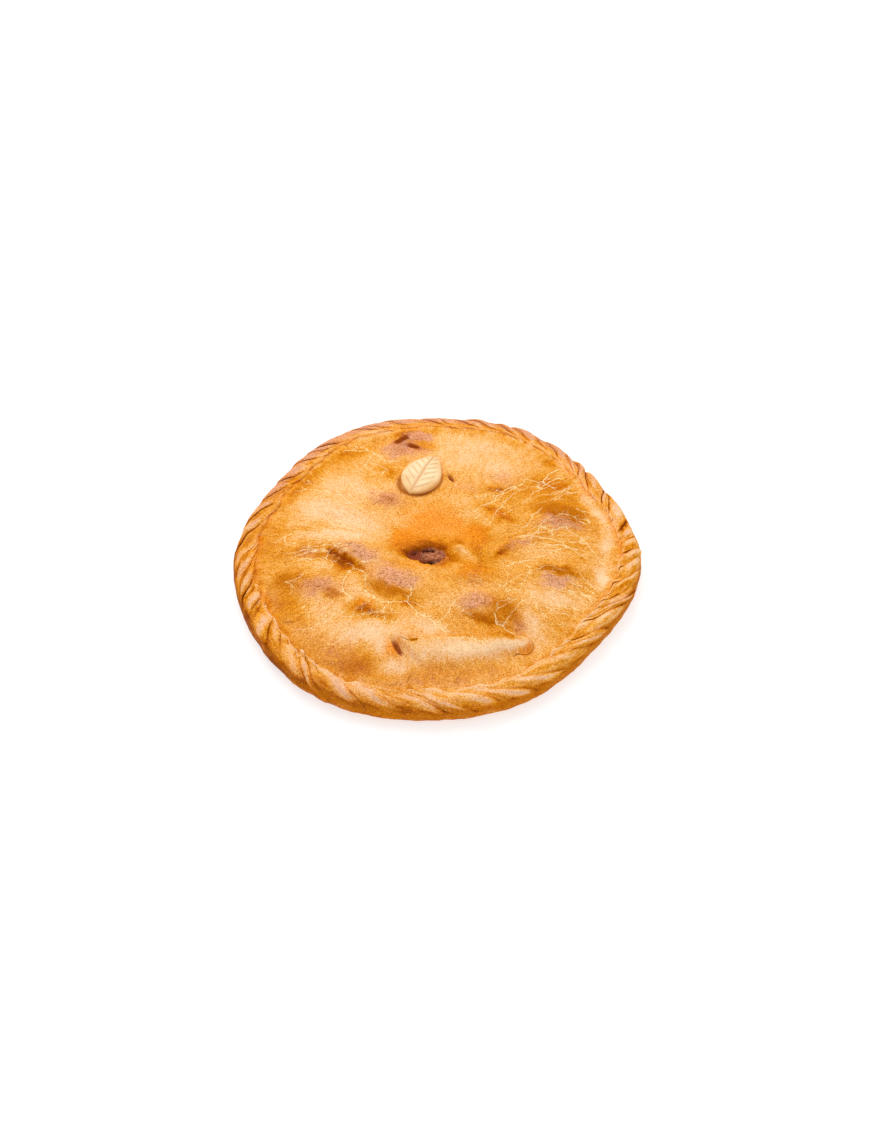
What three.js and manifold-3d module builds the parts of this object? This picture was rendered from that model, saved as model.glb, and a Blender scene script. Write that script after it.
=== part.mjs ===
// Round covered pie: a solid pastry with a rope-folded hem, a lumpy domed lid with a pleat, a steam vent
// and two small tears, the filling that shows in the vent, and a pastry leaf laid on the lid.
// Millimetres, +Z up. The origin is the middle of the flat base, and -Y is the front.

import * as THREE from 'three';
import { mergeGeometries, mergeVertices } from 'three/addons/utils/BufferGeometryUtils.js';
import Module from 'manifold-3d';

const { MathUtils, Vector2, Vector3 } = THREE;
const { clamp, degToRad, lerp, smoothstep } = MathUtils;

// Outline, seen from above: a circle made uneven by a few waves around it.
const MEAN_RADIUS = 149;
const OUTLINE_WAVES = [
  { lobes: 1, swing: 2.5, turn: 184 },
  { lobes: 2, swing: 3.0, turn: 63 },
  { lobes: 3, swing: 1.8, turn: 355 },
  { lobes: 4, swing: 1.2, turn: 2 },
  { lobes: 5, swing: 0.7, turn: 352 },
  { lobes: 6, swing: 1.7, turn: 358 },
];

// Hem: the base's edge, folded over the lid's edge in a rope of slanting folds.
const HEM_WIDTH = 16.5;
const HEM_WIDTH_SWING = 1.2; // by which it is wider at HEM_WIDE_AT, and narrower across from it
const HEM_WIDE_AT = 235;
const HEM_HEIGHT = 18;
const HEM_SQUARENESS = 2.3; // exponent of the section's superellipse, where 2 is round
const HEM_FOOT = -90; // section angle where the base ends, in degrees; 0 is the widest point, 90 the top
const HEM_TUCK = 150; // section angle where the hem meets the lid
const FOLDS = 48;
const FOLDS_FROM = 30; // section angles between which the folds come up to their full height
const FOLDS_TO = 100;
const FOLD_RELIEF = 2.2; // height of a fold's lip over the crease beside it
const FOLD_UNEVEN = 0.4; // share by which one fold's relief may differ from the next
const FOLD_LEAN = 16; // degrees by which a crease moves round on its way from tuck to widest point
const FOLD_SKEW = 2.2; // above 1, a fold rises slowly and drops sharply at its lip
const FOLD_ROUNDNESS = 0.75;
const PITCH_SWING = 0.22; // share by which the folds are closer together at TIGHT_AT
const TIGHT_AT = 35;

// Lid: a dome from the hem's tuck to the middle, with soft mounds, blisters, a pleat and a dip at the vent.
const LID_EDGE_HEIGHT = 15;
const LID_TOP_HEIGHT = 31;
const DOME_FULLNESS = 2.4;
const LID_BLEND = 0.9; // share of the radius where the dome starts to bend into the hem's tuck
const MOUNDS = [
  { x: 45, y: 101, reach: 36, rise: 2.5 },
  { x: -85, y: 41, reach: 33, rise: 3.0 },
  { x: -38, y: -90, reach: 22, rise: 2.5 },
  { x: 80, y: -62, reach: 26, rise: 1.8 },
  { x: 76, y: 66, reach: 16, rise: -2.0 },
  { x: 24, y: -82, reach: 15, rise: -2.5 },
];
const BLISTERS = [
  { x: -22, y: 115, long: 16, wide: 11, turn: 70, rise: 4.0 },
  { x: -38, y: 41, long: 15, wide: 11, turn: -20, rise: 1.8 },
  { x: -62, y: -10, long: 22, wide: 10, turn: -30, rise: 4.5 },
  { x: -28, y: -39, long: 20, wide: 12, turn: -10, rise: 3.0 },
  { x: -90, y: -41, long: 24, wide: 13, turn: -8, rise: 3.0 },
  { x: -51, y: -63, long: 12, wide: 7, turn: -10, rise: 1.5 },
  { x: 37, y: -66, long: 27, wide: 12, turn: -28, rise: 3.5 },
  { x: 87, y: -32, long: 19, wide: 12, turn: -5, rise: 2.8 },
  { x: 92, y: 30, long: 21, wide: 15, turn: 5, rise: 3.0 },
  { x: 43, y: 31, long: 10, wide: 7, turn: -15, rise: 1.5 },
  { x: 52, y: -8, long: 16, wide: 6, turn: 30, rise: 2.2 },
];
const PLEAT = { x: 18, y: -93.5, long: 48, back: 5, front: 13, turn: 1.5, rise: 5 };

// Vent: a hole through the lid with the filling in it, in a shallow dip.
const VENT = { x: -7, y: -15, long: 15, wide: 10, turn: -18, dip: 3, dipReach: 24 };
const VENT_DEPTH = 14;
const VENT_TAPER = 0.7; // the well's foot as a share of its mouth
const FILLING_DEPTH = 5; // the filling's top, below the lid beside it
const FILLING_LUMP = 1.6;

// Tears in the lid: a slit beside the leaf, and one under the pleat's left end.
const TEARS = [
  { x: 10, y: 67, long: 6.5, wide: 2.4, turn: -65, depth: 5 },
  { x: -27, y: -101, long: 7, wide: 2.6, turn: -52, depth: 5 },
];

const LEAF = { x: -11, y: 70, turn: 64 };
const LEAF_LENGTH = 50;
const LEAF_WIDTH = 30;
const LEAF_THICKNESS = 6;
const LEAF_EDGE = 2; // thickness at the leaf's rim
const LEAF_VEIN = 1.3; // depth of the groove along the middle
const LEAF_VEIN_WIDTH = 0.16; // as a share of the half width

const GAP = 0.4; // left between pieces that rest against each other

// Mesh density.
const COLUMNS_PER_FOLD = 4;
const COLUMNS = FOLDS * COLUMNS_PER_FOLD;
const LID_CELLS = COLUMNS / 4;
const HEM_RINGS = 9;
const WELL_SIDES = 28;
const LEAF_SIDES = 36;
const LEAF_RINGS = 14;

const TURN = 2 * Math.PI;

// A fixed number from 0 to 1 for each whole number, so that folds differ but never change.
function scatter(index) {
  const s = Math.sin(index * 12.9898 + 4.1) * 43758.5453;
  return s - Math.floor(s);
}

// A point in the frame of a feature that has a place and a turn, and back.
function toFeature(feature, x, y) {
  return new Vector2(x - feature.x, y - feature.y).rotateAround(new Vector2(), -degToRad(feature.turn));
}

function fromFeature(feature, u, v) {
  const p = new Vector2(u, v).rotateAround(new Vector2(), degToRad(feature.turn));
  return p.add(new Vector2(feature.x, feature.y));
}

// Direction, in radians, of a column round the pie: the folds crowd together at TIGHT_AT.
function columnDirection(column) {
  const even = (column / COLUMNS) * TURN;
  return even - PITCH_SWING * Math.sin(even - degToRad(TIGHT_AT));
}

function outlineRadius(direction) {
  return OUTLINE_WAVES.reduce(
    (radius, wave) => radius + wave.swing * Math.cos(wave.lobes * (direction - degToRad(wave.turn))),
    MEAN_RADIUS,
  );
}

// Relief of the folded hem at a column: 0 in a crease, rising to 1 at the lip just before the next one.
function foldRelief(column) {
  const fold = Math.floor(column / COLUMNS_PER_FOLD);
  const along = column / COLUMNS_PER_FOLD - fold;
  const size = 1 + FOLD_UNEVEN * (2 * scatter(fold % FOLDS) - 1);
  return size * Math.sin(Math.PI * along ** FOLD_SKEW) ** FOLD_ROUNDNESS;
}

function hemWidth(direction) {
  return HEM_WIDTH + HEM_WIDTH_SWING * Math.cos(direction - degToRad(HEM_WIDE_AT));
}

const squared = (wave) => Math.sign(wave) * Math.abs(wave) ** (2 / HEM_SQUARENESS);

// A point of the hem: its section is a superellipse inside the outline, swollen by the folds over its
// top, and it leans round the pie on its way down the outside, so that columns follow creases.
function hemPoint(column, section) {
  const angle = degToRad(section);
  const lean = FOLD_LEAN * clamp((HEM_TUCK - section) / HEM_TUCK, 0, 1);
  const direction = columnDirection(column) + degToRad(lean);
  const swell = FOLD_RELIEF * foldRelief(column) * smoothstep(section, FOLDS_FROM, FOLDS_TO);
  const out = (hemWidth(direction) / 2) * (squared(Math.cos(angle)) - 1) + swell * Math.cos(angle);
  const up = (HEM_HEIGHT / 2) * (squared(Math.sin(angle)) + 1) + swell * Math.sin(angle);
  const radius = outlineRadius(direction) + out;
  return new Vector3(radius * Math.cos(direction), radius * Math.sin(direction), up);
}

const hill = (share) => Math.exp(-share * share);

// Height of a soft-edged oval rise at a point.
function ovalRise(feature, x, y) {
  const p = toFeature(feature, x, y);
  return feature.rise * hill(Math.hypot(p.x / feature.long, p.y / feature.wide));
}

// The pleat is a flat tongue: steep behind, soft in front, narrower towards its right, with blunt ends.
function pleatRise(x, y) {
  const p = toFeature(PLEAT, x, y);
  const front = PLEAT.front * (1 - 0.5 * smoothstep(p.x, -10, PLEAT.long));
  const behind = 1 - smoothstep(p.y, 0, PLEAT.back);
  const before = 1 - smoothstep(-p.y, 0.6 * front, 1.6 * front);
  return PLEAT.rise * Math.min(behind, before) * hill((p.x / PLEAT.long) ** 6);
}

// Height of the lid at a point, with share 0 in the middle and 1 at the hem's tuck.
function lidHeight(x, y, share) {
  const dome = lerp(LID_TOP_HEIGHT, LID_EDGE_HEIGHT, share ** DOME_FULLNESS);
  const mounds = MOUNDS.reduce((z, m) => z + m.rise * hill(Math.hypot(x - m.x, y - m.y) / m.reach), 0);
  const blisters = BLISTERS.reduce((z, b) => z + ovalRise(b, x, y), 0);
  const dip = VENT.dip * hill(Math.hypot(x - VENT.x, y - VENT.y) / VENT.dipReach);
  return dome + mounds + blisters + pleatRise(x, y) - dip;
}

function tuckRadius(direction) {
  const tuck = squared(Math.cos(degToRad(HEM_TUCK)));
  return outlineRadius(direction) + (hemWidth(direction) / 2) * (tuck - 1);
}

// A point of the lid from a share of the radius and a column: the dome, bent into the tuck at its edge.
function lidPoint(share, column) {
  const direction = columnDirection(column);
  const radius = share * tuckRadius(direction);
  const x = radius * Math.cos(direction);
  const y = radius * Math.sin(direction);
  const dome = new Vector3(x, y, lidHeight(x, y, share));
  return dome.lerp(hemPoint(column, HEM_TUCK), smoothstep(share, LID_BLEND, 1));
}

function lidHeightAt(x, y) {
  return lidHeight(x, y, Math.hypot(x, y) / tuckRadius(Math.atan2(y, x)));
}

// Bends a ready-made geometry: place(vertex, uv) returns where each vertex goes. Only positions are kept.
function bend(geometry, place) {
  const bent = geometry.clone();
  const { position, uv } = bent.attributes;
  for (let i = 0; i < position.count; i += 1) {
    const vertex = new Vector3().fromBufferAttribute(position, i);
    position.setXYZ(i, ...place(vertex, new Vector2(uv.getX(i), uv.getY(i))));
  }
  bent.deleteAttribute('normal');
  bent.deleteAttribute('uv');
  return bent;
}

// The lid is a square grid drawn out to a disc, ring by ring, so that its rim has a vertex for each column.
function lidSurface() {
  return bend(new THREE.PlaneGeometry(2, 2, LID_CELLS, LID_CELLS), ({ x, y }) => {
    const share = Math.max(Math.abs(x), Math.abs(y));
    if (share === 0) return new Vector3(0, 0, lidHeight(0, 0, 0));
    const side = [x >= Math.abs(y), y >= Math.abs(x), -x >= Math.abs(y), true].indexOf(true);
    const along = [y, -x, -y, x][side] / share;
    const column = (side + along / 2 + 4) * LID_CELLS;
    return lidPoint(share, (share === 1 ? Math.round(column) : column) % COLUMNS);
  });
}

// The hem is an open tube wall, rolled from the foot over the top to the tuck.
function hemSurface() {
  const wall = new THREE.CylinderGeometry(1, 1, 1, COLUMNS, HEM_RINGS, true);
  return bend(wall, (vertex, uv) => {
    const column = Math.round(uv.x * COLUMNS) % COLUMNS;
    return hemPoint(column, lerp(HEM_FOOT, HEM_TUCK, uv.y));
  });
}

// The base is a flat disc that faces down, so it runs round the other way.
function baseSurface() {
  return bend(new THREE.CircleGeometry(1, COLUMNS), ({ x, y }) => {
    if (Math.hypot(x, y) < 0.5) return new Vector3();
    const column = Math.round((-Math.atan2(y, x) / TURN) * COLUMNS);
    return hemPoint((column + COLUMNS) % COLUMNS, HEM_FOOT);
  });
}

// The well under the vent, or the filling in it: an oval plug that stands on the well's floor and widens
// upwards. Clear is kept free all round it, and crown gives the height of its top at each point.
function ventPlug(clear, crown) {
  const floor = lidHeightAt(VENT.x, VENT.y) - VENT_DEPTH;
  const profile = [
    new Vector2(0, 0),
    new Vector2(1, 0),
    new Vector2(1, 0.5),
    new Vector2(1, 1),
    new Vector2(0.55, 1),
    new Vector2(0, 1),
  ];
  const lathe = new THREE.LatheGeometry(profile, WELL_SIDES).rotateX(Math.PI / 2);
  return bend(lathe, ({ x, y, z }) => {
    const at = fromFeature(VENT, x * VENT.long, y * VENT.wide);
    const height = lerp(floor + clear, crown(at.x, at.y), z);
    const spread = lerp(VENT_TAPER, 1, (height - floor) / VENT_DEPTH);
    const p = fromFeature(VENT, x * (VENT.long * spread - clear), y * (VENT.wide * spread - clear));
    return new Vector3(p.x, p.y, height);
  });
}

// A tear is cut by a pointed oval that stands on its tip and opens at the lid.
function tearCutter(tear) {
  const mouth = lidHeightAt(tear.x, tear.y);
  return bend(new THREE.SphereGeometry(1, 16, 8), ({ x, y, z }) => {
    const p = fromFeature(tear, x * tear.long, z * tear.wide * (1 - x * x));
    return new Vector3(p.x, p.y, mouth - y * tear.depth);
  });
}

// A leaf laid on the lid: a flattened ball with a pointed outline, a hollow vein and an underside that
// follows the lid.
function leafSurface() {
  const ball = new THREE.SphereGeometry(1, LEAF_SIDES, LEAF_RINGS).rotateX(Math.PI / 2);
  return bend(ball, ({ x, y, z }) => {
    const chord = Math.sqrt(Math.max(1 - x * x, 1e-9));
    const across = clamp(y / chord, -1, 1);
    const halfWidth = (LEAF_WIDTH / 2) * chord ** 1.5 * (1 - 0.35 * x);
    const p = fromFeature(LEAF, (x * LEAF_LENGTH) / 2, across * halfWidth);
    const under = lidHeightAt(p.x, p.y) + GAP;
    const vein = LEAF_VEIN * hill(across / LEAF_VEIN_WIDTH) * chord;
    const body = LEAF_EDGE + (LEAF_THICKNESS - LEAF_EDGE) * Math.sqrt(Math.max(z, 0)) - vein;
    return new Vector3(p.x, p.y, z > -1e-6 ? under + body * chord ** 0.5 : under);
  });
}

const wasm = await Module();
wasm.setup();

function toSolid(geometry) {
  const merged = mergeVertices(geometry, 1e-3);
  const mesh = new wasm.Mesh({
    numProp: 3,
    vertProperties: merged.attributes.position.array,
    triVerts: new Uint32Array(merged.index.array),
  });
  return new wasm.Manifold(mesh);
}

function toGeometry(solid) {
  const { vertProperties, triVerts } = solid.getMesh();
  return new THREE.BufferGeometry()
    .setAttribute('position', new THREE.BufferAttribute(vertProperties, 3))
    .setIndex(new THREE.BufferAttribute(triVerts, 1));
}

function crustGeometry() {
  const whole = toSolid(mergeGeometries([lidSurface(), hemSurface(), baseSurface()]));
  const well = toSolid(ventPlug(0, () => LID_TOP_HEIGHT));
  const tears = TEARS.map((tear) => toSolid(tearCutter(tear)));
  return toGeometry([well, ...tears].reduce((crust, cutter) => crust.subtract(cutter), whole));
}

function fillingGeometry() {
  return ventPlug(GAP, (x, y) => {
    const lump = FILLING_LUMP * Math.sin(x * 0.55) * Math.cos(y * 0.7);
    return lidHeightAt(VENT.x, VENT.y) - FILLING_DEPTH + lump;
  });
}

function pastry(name, geometry, color, roughness) {
  geometry.computeVertexNormals();
  const material = new THREE.MeshStandardMaterial({ color, roughness, metalness: 0 });
  const mesh = new THREE.Mesh(geometry, material);
  mesh.name = name;
  return mesh;
}

const empanada = new THREE.Group();
empanada.add(pastry('crust', crustGeometry(), '#eda552', 0.45));
empanada.add(pastry('filling', fillingGeometry(), '#6d3a24', 0.35));
empanada.add(pastry('leaf', leafSurface(), '#f7d9a2', 0.4));

// The uneven outline is shifted so that its box is centred on the origin.
const box = new THREE.Box3().setFromObject(empanada);
const middle = box.getCenter(new Vector3());
empanada.children.forEach((mesh) => mesh.geometry.translate(-middle.x, -middle.y, 0));

export default empanada;
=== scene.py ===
from math import cos, pi, radians, sin, tau

import bpy
import numpy as np
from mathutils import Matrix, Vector


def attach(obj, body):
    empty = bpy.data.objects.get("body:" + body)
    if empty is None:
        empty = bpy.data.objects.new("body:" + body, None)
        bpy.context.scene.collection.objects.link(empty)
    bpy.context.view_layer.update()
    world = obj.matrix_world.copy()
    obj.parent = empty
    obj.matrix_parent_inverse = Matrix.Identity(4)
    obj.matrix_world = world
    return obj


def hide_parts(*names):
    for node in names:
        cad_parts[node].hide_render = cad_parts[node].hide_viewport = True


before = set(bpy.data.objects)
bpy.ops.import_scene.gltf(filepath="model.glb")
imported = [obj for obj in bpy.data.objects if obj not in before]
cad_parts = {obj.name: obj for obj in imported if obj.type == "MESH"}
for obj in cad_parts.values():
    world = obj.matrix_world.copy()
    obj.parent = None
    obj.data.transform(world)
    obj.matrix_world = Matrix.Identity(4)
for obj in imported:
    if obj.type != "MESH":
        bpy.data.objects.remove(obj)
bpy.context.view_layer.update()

print("frame loaded:", ", ".join(sorted(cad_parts)))

# A round covered pie. Lengths are in millimetres and angles in degrees until a mesh is made.
# +Z is up, -Y is the front, and directions run counter-clockwise from +X.

outline = {
    "meanRadius": 149.0,
    "waves": [(1, 2.5, 184), (2, 3.0, 63), (3, 1.8, 355), (4, 1.2, 2), (5, 0.7, 352), (6, 1.7, 358)],
}

hem = {
    "width": 16.5, "widthSwing": 1.2, "wideAt": 235.0,
    "height": 18.0,
    "squareness": 2.3,  # exponent of the section, where 2 is round
    "foot": -90.0,  # section angle where the base ends; 0 is the widest point and 90 the top
    "tuck": 150.0,  # section angle where the hem meets the lid
    "lift": 4.8, "liftSwing": 0.28, "liftAt": 60.0,  # by which the tuck is raised, more at the back
    "folds": 48,
    "foldsFrom": 20.0, "foldsTo": 65.0,  # section angles between which the folds come up
    "fullAt": 82.0, "fullReach": 27.0,  # section angle where a fold is fullest, and how far it stays so
    "relief": 2.6,  # height of a fold's ridge over the crease beside it
    "uneven": 0.45,  # by how much folds differ in height
    "jitter": 0.7,  # by how much folds differ in width
    "pitchSwing": 0.22, "tightAt": 35.0,  # folds crowd together in one direction
    "lean": 19.0,  # how far a crease moves round between the tuck and the widest point
    "flatter": 5.0,  # by how much more at the front
    "leanSwing": 6.0,
    "ridge": 0.76,  # where the ridge lies across a fold, from one crease to the next
    "lipShift": 0.14,  # how far a ridge hangs over the next fold, in folds
    "sway": 3.5,  # how far the creases wander
    "scallop": 2.4,  # how far the folds' inner ends reach over the lid
    "flakes": 1.5, "rags": 1.6,  # height of the smaller folds at the tuck, and of the ragged flakes
    "partAt": 0.38,  # where the parting lies across a fold
    "ropeRadius": 145.0,  # of the circle on which noise along the hem is read
    "crowding": 0.6,  # by how much the columns crowd towards the creases
    "columnsPerFold": 20,
    "wallRings": 9, "foldRings": 31,
    # where creases move round less, where the inner edge is flaky, where folds are parted in two,
    # where they are bold and where their creases get darker painted shade: direction, reach, strength
    "steep": [(-14, 34, 9.0), (214, 24, 8.0), (176, 18, -5.0)],
    "ragged": [(221, 13, 1.0), (196, 9, 0.5), (243, 9, 0.5)],
    "parted": [(207, 30, 1.0), (252, 16, 0.5)],
    "bold": [(195, 40, 0.5), (265, 40, 0.5), (325, 30, 0.35), (10, 40, 0.25)],
    "dark": [(205, 32, 0.75), (322, 28, 1.0), (2, 42, 0.85), (130, 40, 0.4)],
}

lid = {
    "edgeHeight": 15.0,
    "topHeight": 31.0,
    "fullness": 2.4,
    "blend": 0.9,  # share of the radius where the dome starts to bend into the tuck
    "lump": 0.7,  # height of the uneven dough all over
    # soft mounds: x, y, reach, rise
    "mounds": [
        (45, 101, 36, 2.5), (-85, 41, 33, 3.0), (-38, -90, 22, 2.5), (80, -62, 26, 1.8),
        (76, 66, 16, -2.0), (24, -82, 15, -2.5),
    ],
    # blisters: x, y, half length, half width, turn, rise
    "blisters": [
        (-22, 115, 16, 11, 70, 4.0), (-38, 41, 15, 11, -20, 1.8), (-62, -10, 22, 10, -30, 4.5),
        (-28, -39, 20, 12, -10, 3.0), (-90, -41, 24, 13, -8, 3.0), (-51, -63, 12, 7, -10, 1.5),
        (37, -66, 27, 12, -28, 3.5), (87, -32, 19, 12, -5, 2.8), (92, 30, 21, 15, 5, 3.0),
        (43, 31, 10, 7, -15, 1.5), (52, -8, 16, 6, 30, 2.2), (11, -19, 9, 3, -45, -1.6),
        (17, -12, 9, 3, -45, 1.4),
    ],
    # thin creases: x, y, half length, half width, turn, depth
    "creases": [
        (-21, -93.3, 7, 1.3, -3, 2.2), (-20, -124, 5, 0.9, 65, 0.6), (-77, -111, 5, 1.2, 8, 1.2),
        (-107, -72, 6, 1.0, -18, 1.2), (-33, -129, 7, 1.0, 2, 1.0), (13, -127, 6, 1.2, 72, 1.0),
        (-67, -17, 17, 2.0, -42, 1.3), (33, -77, 15, 1.4, -22, 0.9), (48, -13, 10, 1.2, 37, 0.9),
    ],
}

# where the lid is baked darker (above 0) or left paler; among them are painted shade in the hollows,
# beside the vent
# and on slopes that face away from the lamp, and painted highlights on the mounds and the pleat:
# x, y, half length, half width, turn, strength
bakedMarks = [
    # darker at the back
    (-95, 88, 14, 9, 40, 0.2), (-68, 104, 16, 8, 10, 0.3), (-100, 64, 18, 9, 50, 0.2),
    (-37, 76, 6, 10, 35, 0.36), (-24, 122, 15, 9, -50, 0.35), (-9, 112, 9, 8, -20, 0.25),
    (88, 69, 18, 7, -5, 0.36), (100, 56, 18, 9, -25, 0.16), (88, 95, 7, 6, 0, 0.36),
    (66, 50, 26, 12, 10, 0.14), (43, 53, 7, 5, -20, 0.36), (55, 45, 10, 6, 20, 0.16),
    (-20, 106, 10, 4.5, -15, 0.35), (-28, 113, 7, 9, 0, 0.25), (66, 114, 26, 7, -30, 0.2),
    (0, 131, 30, 5, 0, 0.2), (-111, 64, 24, 6, 60, 0.24), (-56, 121, 14, 7, 20, 0.04),
    (-29, 111, 7, 8, 0, 0.12), (-38, 42, 12, 8, 0, 0.1), (43, 52, 7, 4, 0, 0.12),
    (92, 90, 6, 12, -30, 0.14), (45, 118, 16, 8, 0, 0.1),
    # darker in the middle
    (-118, 22, 9, 22, 0, 0.16), (-96, 17, 20, 4, -18, 0.1), (50, 23, 9, 4.5, -30, 0.44),
    (41, 31, 8, 5, -20, 0.36), (93, 34, 24, 16, -10, 0.34), (70, 8, 20, 14, 0, 0.06),
    (30, 6, 12, 8, -20, 0.28), (46, -14, 9, 3.2, 40, 0.3), (58, -4, 14, 6, 30, 0.22),
    (31, -12, 8, 16, 10, 0.24), (11, -19, 10, 4, -42, 0.24), (-19, -9, 5, 4, 20, 0.2),
    (-4, -1, 22, 6, -12, 0.3), (-27, -5, 6, 8, 20, 0.5), (-30, -25, 16, 5, -15, 0.1),
    (28, -34, 14, 9, -10, 0.22), (0, -38, 24, 5, 0, 0.06), (-69, -23, 18, 5.5, -38, 0.5),
    (-98, -8, 16, 6, -10, 0.32), (-112, -36, 11, 13, 0, 0.2), (-92, -34, 14, 6, 0, 0.12),
    (88, -28, 16, 7, 0, 0.42), (104, -12, 10, 14, 0, 0.08), (15, -4, 5, 6, 0, 0.22),
    (22, -20, 5, 5, 0, 0.2), (43, 20, 6, 4, 0, 0.2), (-128, 0, 6, 30, 0, 0.16), (92, 22, 14, 6, 0, 0.1),
    (85, -1, 16, 7, 0, 0.1), (86, -29, 13, 4, 5, 0.22), (85, 31, 16, 5, 0, 0.2),
    # darker at the front
    (-55, -118, 14, 5, -15, 0.1), (-76, -51, 8, 4.5, -20, 0.35), (-44, -45, 7, 6, -20, 0.1),
    (-30, -53, 17, 5, -18, 0.3), (-54, -66, 10, 5, -25, 0.44), (-43, -72, 12, 4.5, -8, 0.3),
    (-22, -63, 7, 3, -15, 0.42), (-105, -58, 10, 14, 20, 0.2), (-94, -68, 8, 8, 0, 0.2),
    (-58, -112, 20, 10, 0, 0.3), (-88, -96, 11, 11, -50, 0.14), (-62, -98, 16, 5, 0, 0.2),
    (20, -118, 26, 6, 5, 0.16), (-8, -118, 14, 7, 0, 0.14), (25, -83, 26, 6, -10, 0.05),
    (33, -76, 15, 4, -20, 0.36), (48, -66, 12, 10, -20, 0.26), (85, -80, 10, 9, 0, 0.08),
    (90, -68, 14, 6, 0, 0.08), (94, -46, 8, 3, 0, 0.14), (-36, -122, 8, 5, 0, 0.14),
    (-31, -101, 4, 8, 25, 0.25), (56, -102, 8, 1.8, 10, 0.2), (65.5, -97, 5, 2.0, 62, 0.2),
    (-20, -124, 44, 4, 0, 0.1), (47, -89.5, 11, 3, 2, 0.36), (15, -91, 20, 3, -8, 0.14),
    (-114, -62, 6, 10, 20, 0.14), (40, -62, 6, 5, 0, 0.12), (-75, -103, 10, 6, -20, 0.1),
    (60, -119, 14, 4, 20, 0.12), (-34, -75, 10, 4, 0, 0.1), (-13, -128, 6, 4, 0, 0.2),
    (-92, -75, 8, 8, 0, 0.14),
    # paler
    (18, -13, 8, 2.4, -45, -0.22), (24, -21, 6, 3.0, -60, -0.22), (84, -40, 9, 4, 0, -0.3),
    (-75, -50, 16, 9, 0, -0.14), (-60, 1, 12, 5, -20, -0.12), (20, 40, 10, 6, 0, -0.1),
    (62, 45, 12, 6, 0, -0.1), (5, -60, 12, 7, 0, -0.08), (-34, -99, 6, 6, 0, -0.14),
    (-4, -109, 10, 5, 0, -0.16), (22, -106, 14, 4, 3, -0.14), (56, -98.5, 8, 3, 0, -0.16),
    (114, 75, 6, 9, 30, -0.12), (-82, -25, 7, 5, 0, -0.16), (72, -58, 8, 6, 0, -0.06),
    (-50, -54, 8, 6, 0, -0.25), (101, -25, 9, 6, 0, -0.22), (36, -100, 26, 4, 3, -0.2),
    (76, -75, 7, 6, 0, -0.18), (-72, 3, 18, 5, -10, -0.2), (-40, -100, 8, 6, 0, -0.2),
    (60, 46, 12, 5, 0, -0.12), (112, 66, 8, 8, 0, -0.14), (26, 104, 36, 26, 0, -0.26),
    (50, 76, 16, 10, 0, -0.16), (-90, 38, 26, 13, -10, -0.32), (-60, 18, 24, 11, -15, -0.32),
    (-74, 66, 22, 12, -10, -0.2), (-55, 52, 16, 10, -10, -0.2), (-85, 8, 14, 4, -10, -0.3),
    (-118, 10, 8, 9, 0, -0.1), (-85, 56, 12, 8, 0, -0.1), (-57, -13, 10, 5, -30, -0.15),
    (-50, -88, 26, 11, -5, -0.4), (-83, -66, 15, 11, 0, -0.24), (-60, -45, 7, 13, 0, -0.14),
    (-8, -82, 16, 6, -20, -0.3), (-28, -115, 10, 7, 0, -0.36), (12, -102, 34, 8, 2, -0.36),
    (52, -97, 15, 4, 2, -0.3), (72, -12, 13, 9, 0, -0.14), (84, -54, 17, 9, 0, -0.24),
    (66, -78, 5, 14, 12, -0.34), (119, -28, 5, 10, 12, -0.55), (121, 40, 5, 22, 22, -0.46),
    (125, 4, 5, 16, -5, -0.32), (110, 80, 5, 14, 35, -0.26),
]

# deep brown strokes: crust that is all but burnt, and painted shade beside blisters, in the vent's well,
# in the tears and under the pleat's right tip
charAndShadeMarks = [
    (-29, 116, 6.5, 3.6, 30, 1.15), (-19, 106.5, 9, 3.4, -20, 0.68), (-24, 123, 6, 4, 30, 0.35),
    (-64, -20.5, 14, 4.2, -36, 0.84), (-78, -9, 5, 3.6, -50, 0.6), (-56, -29, 6, 3.0, -30, 0.4),
    (45, -15, 8, 2.6, 40, 0.5), (84, -28, 11, 3, 5, 0.35), (33, -76, 12, 2.4, -20, 0.35),
    (81, 69, 3.5, 3, 0, 0.3), (-18.5, -7, 6, 4.5, 20, 1.6), (-8, -3, 5, 2.0, -5, 2.0),
    (-54, -65, 7, 3.5, -25, 0.2), (49, 23, 7, 3.0, -30, 0.3), (-14, -3.5, 3, 2, -30, 0.9),
    (3, -6, 4, 2.5, -35, 0.6), (8, -13, 3, 6, 30, 0.25), (-31.5, -100, 3, 6, 25, 0.45),
    (-16.5, -97.6, 3.6, 1.5, 10, 1.3), (-17, -83, 0.9, 0.9, 0, 0.8), (-18.5, -85.5, 0.9, 0.9, 0, 0.8),
    (-60, -73.5, 0.9, 1.3, 0, 0.7), (-86, -86, 0.9, 0.9, 0, 0.7), (61, -101, 5, 1.5, 25, 0.3),
    (66, -96.5, 5, 1.5, 62, 0.4), (-22, -63, 5, 2, -15, 0.3), (89, 110, 2.6, 4.0, 30, 0.9),
    (20, 78, 1.0, 1.0, 0, 0.9), (105, -12, 1.0, 1.0, 0, 0.9), (-86, 31, 1.2, 2.0, 0, 0.5),
]
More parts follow.
